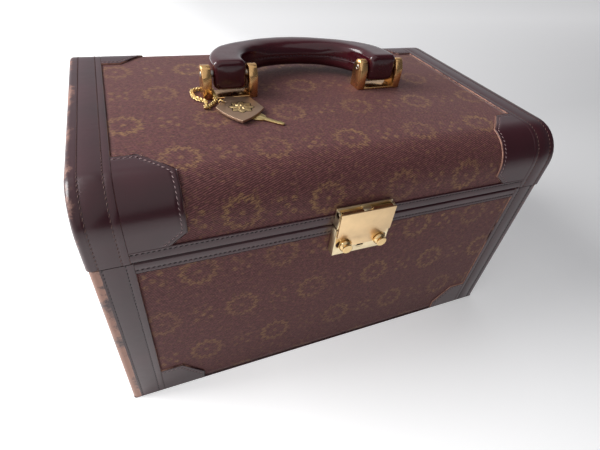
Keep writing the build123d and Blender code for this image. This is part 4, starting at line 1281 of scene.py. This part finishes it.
CASE, HASP, HINGE, HINGE_PIN = (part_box(node) for node in ("lock_case", "hasp", "hasp_bracket", "hasp_pin"))
BARREL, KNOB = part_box("key_barrel"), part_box("lock_knob_right")
PIN_Y, PIN_Z = (HINGE_PIN[0].y + HINGE_PIN[1].y) / 2, (HINGE_PIN[0].z + HINGE_PIN[1].z) / 2
LOCK_WALL = 0.0012
BEHIND = 0.0004
BORE, PLUG = 0.00325, 0.00315
KNOB_SLOT, KNOB_ROOM = 0.0028, 0.0049
HASP_ROLL, HINGE_ROLL = 0.0020, 0.00195
KNOB_X = KNOB[1].x - 0.0043
KNOB_Z = CASE[0].z + 0.009
KNOB_TRAVEL = 0.003
BARREL_Z = CASE[0].z + 0.0062
TONGUE_X = 0.006
TONGUE_Z = CASE[0].z + 0.013
TONGUE_ROOM = 0.0006
CIRCLE = (0, 2 * pi * 31 / 32, 31)
KEYHOLE = [(-0.0024, -0.0018), (0.0024, -0.0018), (0.0024, -0.0003), (0.0009, -0.0003), (0, 0.0008),
           (-0.0009, -0.0003), (-0.0024, -0.0003)]
KNOB_PROFILE = [
    (0.0024, -0.0030), (0.0024, -0.00155), (0.0042, -0.0015), (0.0044, -0.0012), (0.0044, 0.0001),
    (0.0043, 0.0009), (0.0040, 0.0016), (0.0035, 0.0022), (0.0028, 0.0027), (0.0022, 0.0030),
    (0.0021, 0.0033), (0.0032, 0.0034), (0.0035, 0.0036), (0.0035, 0.0039), (0.0033, 0.0041),
    (0.0028, 0.0042), (0.0015, 0.0042), (0.0003, 0.0042)]


def cut_plate(name, outline, holes, front, thickness, edge, material):
    """An upright plate (x, z) behind a front level, with holes through it and eased edges."""
    curve = bpy.data.curves.new(name, "CURVE")
    curve.dimensions = "2D"
    curve.fill_mode = "BOTH"
    curve.extrude = thickness / 2 - edge
    curve.bevel_depth = edge
    curve.bevel_resolution = 1
    curve.offset = -edge
    for line in (outline, *[hole[::-1] for hole in holes]):
        spline = curve.splines.new("POLY")
        spline.points.add(len(line) - 1)
        for point, (x, z) in zip(spline.points, line):
            point.co = (x, z, 0, 1)
        spline.use_cyclic_u = True
    drawn = new_object(name, curve)
    mesh = bpy.data.meshes.new_from_object(drawn)
    bpy.data.objects.remove(drawn)
    mesh.transform(Matrix.Translation((0, front + thickness / 2, 0)) @ Matrix.Rotation(pi / 2, 4, "X"))
    mesh.materials.clear()
    mesh.materials.append(MATERIALS[material])
    mesh.shade_smooth()
    return weld(new_object(name, mesh), 40)


def lock_case_pieces():
    """The lock's face with its slots, and the walls behind it."""
    gate = TONGUE_X + TONGUE_ROOM
    low, high, half, front = CASE[0].z, CASE[1].z, CASE[1].x, CASE[0].y
    outline = [(-half, low), (half, low), (half, high), (gate, high), (gate, TONGUE_Z - TONGUE_ROOM),
               (-gate, TONGUE_Z - TONGUE_ROOM), (-gate, high), (-half, high)]
    holes = [arc_line((0, BARREL_Z), BORE, *CIRCLE)]
    for side in (-1, 1):
        left, right = sorted((side * KNOB_X, side * (KNOB_X + KNOB_TRAVEL)))
        holes.append(arc_line((right, KNOB_Z), KNOB_SLOT, -pi / 2, pi / 2, 12)
                     + arc_line((left, KNOB_Z), KNOB_SLOT, pi / 2, 3 * pi / 2, 12))
    face = cut_plate("lock_face", outline, holes, front, LOCK_WALL, 0.00025, "satin")
    hand_over(face, "base", "brass", "lock_case")
    shape = Shape()
    front, back = front + LOCK_WALL - BEHIND, CASE[1].y
    for side in (-1, 1):
        near, far = sorted((side * half, side * (half - LOCK_WALL)))
        shape.box((near, front, low), (far, back, high))
        near, far = sorted((side * gate, side * (half - BEHIND)))
        shape.box((near, front, high - LOCK_WALL), (far, back, high))
    shape.box((BEHIND - half, front, low), (half - BEHIND, back, low + LOCK_WALL))
    hand_over(shape.cast("lock_walls", "satin", 0.0003), "base", "brass")


def barrel_piece():
    """The key barrel: a round plug with a keyhole, and its cam behind, painted very dark as the shade seen
    through the keyhole.
    """
    front = BARREL[0].y
    plug = cut_plate("lock_barrel", arc_line((0, BARREL_Z), PLUG, *CIRCLE),
                     [[(x, BARREL_Z + z) for x, z in KEYHOLE]], front, 0.0006, 0.0001, "satin")
    hand_over(plug, "key_barrel", "brass", "key_barrel")
    # The cam is painted very dark: painted shade seen through the keyhole.
    shape = Shape()
    shape.turned([(0.00310, 0.0006), (0.00310, 0.0050)], (0, front, BARREL_Z), (0, 1, 0))
    shape.box((-0.0013, BARREL[1].y - 0.001, BARREL_Z), (0.0013, BARREL[1].y, BARREL[1].z))
    hand_over(shape.cast("lock_cam", "black", 0.0001), "key_barrel", "brass")


def hasp_outline():
    """The hasp's edge, cut away round both places of each knob."""
    step_x, step_z, low = HASP[1].x - 0.0025, HASP[1].z - 0.0187, HASP[0].z
    away = KNOB_X + KNOB_TRAVEL
    meet = asin(KNOB_TRAVEL / 2 / KNOB_ROOM)
    half = [(HASP[1].x, HASP[1].z), (HASP[1].x, step_z), (step_x, step_z)]
    start, end = asin((step_x - away) / KNOB_ROOM), asin((KNOB_Z - low) / KNOB_ROOM)
    half += arc_line((away, KNOB_Z), KNOB_ROOM, pi / 2 - start, pi / 2 + meet, 6)
    half += arc_line((KNOB_X, KNOB_Z), KNOB_ROOM, pi / 2 - meet, pi + end, 16)[1:]
    return [(-x, z) for x, z in half] + half[::-1]


def hasp_pieces():
    """The brushed hasp with the rolls and the tongue on its back."""
    plate = cut_plate("hasp_plate", hasp_outline(), [], HASP[0].y, LOCK_WALL, 0.0002, "brushed")
    hand_over(plate, "hasp", "brass", "hasp")
    shape = Shape()
    back = HASP[0].y + LOCK_WALL - 0.0003
    for low, high in ((-0.0181, -0.0033), (0.0033, 0.0181)):
        shape.turned([(HASP_ROLL, 0.0), (HASP_ROLL, high - low)], (low, PIN_Y, PIN_Z), (1, 0, 0))
        shape.box((low, back, PIN_Z), (high, PIN_Y, PIN_Z + HASP_ROLL))
    shape.box((-TONGUE_X, back, TONGUE_Z), (TONGUE_X, HASP[1].y, TONGUE_Z + 0.006))
    hand_over(shape.cast("hasp_rolls", "brass", 0.0002), "hasp", "brass")


def hasp_hinge_piece():
    """The hasp's hinge on the lid: a plate with an ear at each end and a lug in the middle."""
    shape = Shape()
    half, back, foot, roll = HINGE[1].x, HINGE[1].y, HINGE[0].z, HINGE_ROLL
    shape.box((-half, back - LOCK_WALL, foot), (half, back, HINGE[1].z))
    ear = (PIN_Y - roll, foot)
    for low, high, face, level in ((-half, 0.0016 - half, *ear), (half - 0.0016, half, *ear),
                                   (-0.003, 0.003, PIN_Y, PIN_Z - roll)):
        shape.turned([(roll, 0.0), (roll, high - low)], (low, PIN_Y, PIN_Z), (1, 0, 0))
        shape.box((low, face, level), (high, back - 0.0010, PIN_Z))
        shape.box((low, PIN_Y, PIN_Z - 0.001), (high, back - 0.0010, PIN_Z + roll))
    hand_over(shape.cast("hasp_hinge", "satin", 0.0003), "lid", "brass", "hasp_bracket")


class VANITY_OT_lock(bpy.types.Operator):
    """Make the drop hasp lock: its case, hasp, hinge, two sliding knobs and key barrel"""

    bl_idname = "vanity.lock"
    bl_label = "Lock"

    def execute(self, context):
        lock_case_pieces()
        barrel_piece()
        hasp_pieces()
        hasp_hinge_piece()
        finish_node("hasp_pin", "steel")
        front, back = HASP[0].y + 0.0030, HASP[0].y + 0.0058
        for side, word in ((-1, "left"), (1, "right")):
            shape = Shape()
            shape.turned(KNOB_PROFILE, (side * KNOB_X, HASP[0].y, KNOB_Z), (0, -1, 0), 40)
            for end, rise in ((KNOB_X + 0.0028, 0.003), (0.0093, 0.009)):
                left, right = sorted((side * 0.0063, side * end))
                shape.box((left, front, KNOB_Z - 0.003), (right, back, KNOB_Z + rise))
            piece = weld(shape.piece(f"knob_{word}", "brass"), 40)
            hand_over(piece, f"knob_{word}", "brass", f"lock_knob_{word}")
        return {"FINISHED"}


# Tag, chain and key

TAG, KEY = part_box("shield_tag"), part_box("luggage_key")
TAG_TURN, TAG_TIP = radians(-10.5), Vector((-0.0621, -0.0453))
KEY_TURN, KEY_PLACE = radians(-45), Vector((-0.0505, -0.0360))
KEY_OUTLINE = (
    (-0.0050, 0.0002), (-0.0043, -0.0030), (-0.0018, -0.0045), (0.0015, -0.0047), (0.0045, -0.0034),
    (0.0068, -0.0018), (0.0190, -0.0013), (0.0200, -0.0004), (0.0197, 0.0013), (0.0178, 0.0013),
    (0.0172, 0.0024), (0.0155, 0.0023), (0.0150, 0.0013), (0.0068, 0.0018), (0.0045, 0.0036),
    (0.0015, 0.0048), (-0.0018, 0.0046), (-0.0043, 0.0031))
ROSETTE = (0.0010, 0.0195)
LINK_RADIUS, WIRE_RADIUS = 0.0011, 0.00042


def laid(place, turn, x, y):
    """A point (x, y) of a flat thing that is turned and laid at a place."""
    return (place.x + x * cos(turn) - y * sin(turn), place.y + x * sin(turn) + y * cos(turn))


def relief(shape, reach, height, mean, wave, rings=7, count=48):
    """Adds one raised ornament to the tag: a dome whose edge swings eight times about its mean reach."""
    first = len(shape.points)
    for ring in range(rings + 1):
        share = 1 - ring / rings
        level = TAG[1].z - 0.0001 + height * sqrt(max(0.0, 1 - share ** 2.5))
        for i in range(count):
            angle = 2 * pi * i / count
            radius = reach * (mean + wave * cos(8 * angle)) * share
            shape.points.append((*laid(TAG_TIP, TAG_TURN, ROSETTE[0] + radius * cos(angle),
                                       ROSETTE[1] + radius * sin(angle)), level))
    shape.sides(first, count, rings + 1)
    shape.cap(first, count, -1)


def chain_route():
    """A smooth closed line through the chain's places, round the foot of the left bracket's ear."""
    left = -HANDLE_X - (BRACKET[1].x - BRACKET[0].x) / 2
    right, face, low = left + EAR, BRACKET[1].y, BRACKET[0].z + 0.0014
    over = low + 0.0016
    spots = [Vector(spot) for spot in (
        (-0.0793, -0.0202, low), (left + 0.0003, -face - 0.0047, low), (left - 0.0047, -face + 0.0012, low),
        (left - 0.0064, face - 0.0048, low), (left - 0.0050, face + 0.0013, low),
        (left - 0.0007, face + 0.0038, low), (right - 0.0012, face + 0.0028, low + 0.0004),
        (right + 0.00135, face - 0.0005, over), (right + 0.00145, 0, over),
        (right + 0.00135, -face + 0.0005, over), (right + 0.0010, -face - 0.0044, low))]
    route = []
    for i in range(len(spots)):
        before, start, end, after = (spots[(i + k) % len(spots)] for k in (-1, 0, 1, 2))
        for t in spread(0, 1, 8)[:-1]:
            route.append(0.5 * (
                2 * start + (end - before) * t + (2 * before - 5 * start + 4 * end - after) * t * t
                + (3 * start - before - 3 * end + after) * t ** 3))
    return route


class VANITY_OT_tag(bpy.types.Operator):
    """Make the shield tag with its raised rosette, its ring and chain, and the small flat key"""

    bl_idname = "vanity.tag"
    bl_label = "Tag and chain"

    def execute(self, context):
        hand_over(softened("shield_tag", "tag_plate", "bronze", 0.0006, 3), "tag", "bronze", "shield_tag")
        shape = Shape()
        relief(shape, 0.0086, 0.0008, 0.86, 0.14)
        relief(shape, 0.0052, 0.0014, 0.8, -0.2)
        relief(shape, 0.0016, 0.0019, 1.0, 0.0, 5, 24)
        hand_over(weld(shape.piece("tag_rosette", "relief"), 60), "tag", "bronze")
        shape = Shape()
        relief(shape, 0.0098, 0.00022, 0.9, 0.1)
        hand_over(weld(shape.piece("tag_patina", "patina"), 60), "tag", "bronze")
        finish_node("tag_ring", "chain")

        shape = Shape()
        shape.prism([laid(KEY_PLACE, KEY_TURN, x, y) for x, y in KEY_OUTLINE], 2, KEY[0].z, KEY[1].z)
        hand_over(shape.cast("flat_key", "chain", 0.0002), "tag", "brass", "luggage_key")

        route = chain_route()
        edges = [(i, (i + 1) % len(route)) for i in range(len(route))]
        run_tree("chain_links", chain_tree(), {
            "Pitch": sizes().chain_pitch, "Link radius": LINK_RADIUS, "Wire radius": WIRE_RADIUS,
            "Seed": sizes().seed, "Material": MATERIALS["chain"]}, route, edges, "lid", "brass", "tag_chain")
        return {"FINISHED"}


class VANITY_OT_hinges(bpy.types.Operator):
    """Finish the two back hinges and set their rivets"""

    bl_idname = "vanity.hinges"
    bl_label = "Back hinges"

    def execute(self, context):
        for body in ("base", "lid"):
            leaves, rivets = f"{body}_hinge_leaves", f"{body}_hinge_rivets"
            hand_over(softened(leaves, f"{body}_leaves", "brass", 0.0002), body, "brass", leaves)
            spots = [((low.x + high.x) / 2, high.y - 0.0008, (low.z + high.z) / 2)
                     for low, high in loose_boxes(rivets)]
            fasten(f"{body}_rivets", rivet_head(), spots, (0, 1, 0), body, "brass", rivets)
        finish_node("hinge_pins", "steel")
        return {"FINISHED"}


# Boards, lining, tray and mirror. The boards that show at the open rims are painted dark, as painted shade in
# the gap between lid and base.

RIM_BOARDS = ("base_front_panel", "base_back_panel", "base_left_panel", "base_right_panel", "lid_left_panel",
              "lid_right_panel", "lid_front_rail", "lid_back_rail")
BOARDS = ("base_floor", "lid_top_panel", "tray_floor", "tray_ledges", "mirror_backing")
COVERED = (("base_lining", "base"), ("lid_lining", "lid"), ("lid_end_lining", "lid"), ("tray_walls", "tray"),
           ("tray_dividers", "tray"))
PAD_CELL, PAD_ROLL, QUILT_FURROW = 0.0022, 0.0022, 0.004


class VANITY_OT_boards(bpy.types.Operator):
    """Finish the plywood boards, and cover the lining boards and the tray's walls in cloth"""

    bl_idname = "vanity.boards"
    bl_label = "Boards and linings"

    def execute(self, context):
        # The rim boards are painted dark: painted shade in the gap between lid and base.
        for nodes, material in ((RIM_BOARDS, "rim gap shade"), (BOARDS, "wood")):
            for node in nodes:
                finish_node(node, material)
        for node, body in COVERED:
            hand_over(softened(node, f"{node}_cloth", "lining", 0.0006, 3), body, "lining", node)
        return {"FINISHED"}


def quilted(shape, low, high, pitch):
    """Adds a thin pad: flat below, softly rounded at its edges, and sewn down along crossing lines."""
    size = high - low
    counts = [max(8, round(size[i] / PAD_CELL)) for i in (0, 1)]
    top, under = [], []
    for y in spread(low.y, high.y, counts[1]):
        top.append([])
        under.append([])
        for x in spread(low.x, high.x, counts[0]):
            edge = min(x - low.x, high.x - x, y - low.y, high.y - y)
            full = sqrt(max(0.0, 1 - max(0.0, 1 - edge / PAD_ROLL) ** 2))
            puff = 1.0
            for run in ((x + y) / pitch, (x - y) / pitch):
                away = abs(run - round(run)) * pitch / sqrt(2)
                puff = min(puff, 1 - 0.75 * max(0.0, 1 - away / QUILT_FURROW) ** 2)
            top[-1].append((x, y, low.z + size.z * (0.4 + full * (0.15 + 0.45 * puff))))
            under[-1].append((x, y, low.z + size.z * 0.4 * (1 - full)))
    first, rows, columns = len(shape.points), len(top), len(top[0])
    shape.grid(top)
    shape.grid(under, flip=True)
    rim = list(range(columns)) + [j * columns + columns - 1 for j in range(1, rows)]
    rim += [(rows - 1) * columns + i for i in range(columns - 2, -1, -1)]
    rim += [j * columns for j in range(rows - 2, 0, -1)]
    below = first + rows * columns
    for here, there in zip(rim, rim[1:] + rim[:1]):
        shape.faces.append((first + here, below + here, below + there, first + there))


class VANITY_OT_interior(bpy.types.Operator):
    """Lay the quilted pads in the base and the tray, and finish the tray's pulls and the mirror"""

    bl_idname = "vanity.interior"
    bl_label = "Pads and mirror"

    def execute(self, context):
        for node, body, pitch in (("floor_pad", "base", 0.034), ("tray_pads", "tray", 0.022)):
            shape = Shape()
            for low, high in loose_boxes(node):
                quilted(shape, low, high, pitch)
            piece = hand_over(weld(shape.piece(f"{node}_quilted", "lining"), 60), body, "lining", node)
        hand_over(softened("tray_tabs", "tray_pulls", "leather", 0.00025), "tray", "leather", "tray_tabs")
        hand_over(softened("mirror_frame", "mirror_rim", "brass", 0.0006, 3), "lid", "brass", "mirror_frame")
        finish_node("mirror", "mirror")
        return {"FINISHED"}


# Stage

CAMERA_PLACE = (-0.12439, -0.2630, 0.29682)
YAW, PITCH, ROLL = 0.47, 0.71, 0.13
CAMERA_LENS = 23.75
LIT_AT = Vector((0, 0, 0.1))
FLOOR_HALF = 4


def set_camera(scene):
    """The photograph's view, from the camera's place, its turns and its lens."""
    forward = Vector((sin(YAW) * cos(PITCH), cos(YAW) * cos(PITCH), -sin(PITCH)))
    level = Vector((cos(YAW), -sin(YAW), 0))
    rise = level.cross(forward)
    right = level * cos(ROLL) + rise * sin(ROLL)
    up = rise * cos(ROLL) - level * sin(ROLL)
    scene.camera = new_object("camera", bpy.data.cameras.new("camera"))
    scene.camera.data.lens = CAMERA_LENS
    scene.camera.data.sensor_width = 36
    scene.camera.data.clip_start = 0.01
    turn = Matrix((right, up, -forward)).transposed().to_4x4()
    scene.camera.matrix_world = Matrix.Translation(CAMERA_PLACE) @ turn


def sky_light():
    """A room with a pale wall behind and to the left of the case, and a dim ceiling and near side."""
    world = bpy.data.worlds.new("world")
    world.use_nodes = True
    bpy.context.scene.world = world
    world.node_tree.nodes.clear()
    add = partial(add_node, world.node_tree)
    way = add("TexCoord").outputs["Generated"]
    split = add("SeparateXYZ", {0: way})
    low = add("MapRange", {"Value": split.outputs["Z"], "From Min": 0.95, "From Max": 0.75},
              interpolation_type="SMOOTHSTEP")
    towards = add("VectorMath", {0: way, 1: (-0.55, 0.83, 0.0)}, operation="DOT_PRODUCT")
    behind = add("MapRange", {"Value": towards, "From Min": -0.3, "From Max": 0.25},
                 interpolation_type="SMOOTHSTEP")
    wall = add("Math", {0: low, 1: behind}, operation="MULTIPLY")
    colour = add("Mix", {0: wall, 6: (0.10, 0.10, 0.11, 1.0), 7: (0.52, 0.52, 0.54, 1.0)}, data_type="RGBA")
    seen = add("LightPath").outputs["Is Camera Ray"]
    shown = add("Mix", {0: seen, 6: colour, 7: (0.8, 0.8, 0.81, 1.0)}, data_type="RGBA")
    add("OutputWorld", {"Surface": add("Background", {"Color": shown})})


def area_light(name, place, size, power):
    """A soft rectangular lamp that looks at the case."""
    light = bpy.data.lights.new(name, "AREA")
    light.shape = "RECTANGLE"
    light.size, light.size_y = size
    light.energy = power
    lamp = new_object(name, light)
    lamp.location = place
    lamp.rotation_euler = (LIT_AT - lamp.location).to_track_quat("-Z", "Y").to_euler()


class VANITY_OT_stage(bpy.types.Operator):
    """Set the floor, the light and the camera"""

    bl_idname = "vanity.stage"
    bl_label = "Stage"

    def execute(self, context):
        context.scene.view_settings.view_transform = "Standard"
        set_camera(context.scene)
        shape = Shape()
        far = FLOOR_HALF
        shape.points = [(-far, -far, 0), (far, -far, 0), (far, far, 0), (-far, far, 0)]
        shape.cap(0, 4)
        shape.piece("floor", "floor")
        sky_light()
        area_light("window", (-0.95, 0.3, 0.78), (0.6, 0.8), 15)
        area_light("ceiling", (-0.9, -0.5, 1.5), (4.5, 4.5), 34)
        return {"FINISHED"}


class VANITY_PT_case(bpy.types.Panel):
    """The steps that build the case's finishes."""

    bl_label = "Vanity Case"
    bl_idname = "VANITY_PT_case"
    bl_space_type = "VIEW_3D"
    bl_region_type = "UI"
    bl_category = "Vanity Case"

    def draw(self, context):
        for step in STEPS:
            self.layout.operator(step.bl_idname)
        for group in (context.scene.vanity_sizes, context.scene.vanity_colours):
            column = self.layout.column()
            for name in group.bl_rna.properties.keys():
                if name not in ("rna_type", "name"):
                    column.prop(group, name)


STEPS = (
    VANITY_OT_stage, VANITY_OT_cloth, VANITY_OT_leather, VANITY_OT_stitches, VANITY_OT_handle,
    VANITY_OT_brackets, VANITY_OT_lock, VANITY_OT_tag, VANITY_OT_hinges, VANITY_OT_boards, VANITY_OT_interior)
CLASSES = (CaseSizes, CaseColours, *STEPS, VANITY_PT_case)


def register():
    for made in CLASSES:
        bpy.utils.register_class(made)
    bpy.types.Scene.vanity_sizes = PointerProperty(type=CaseSizes)
    bpy.types.Scene.vanity_colours = PointerProperty(type=CaseColours)


def unregister():
    del bpy.types.Scene.vanity_colours
    del bpy.types.Scene.vanity_sizes
    for made in reversed(CLASSES):
        bpy.utils.unregister_class(made)


def main():
    register()
    make_materials()
    for step in STEPS:
        getattr(bpy.ops.vanity, step.bl_idname.split(".")[1])()


if __name__ == "__main__":
    main()
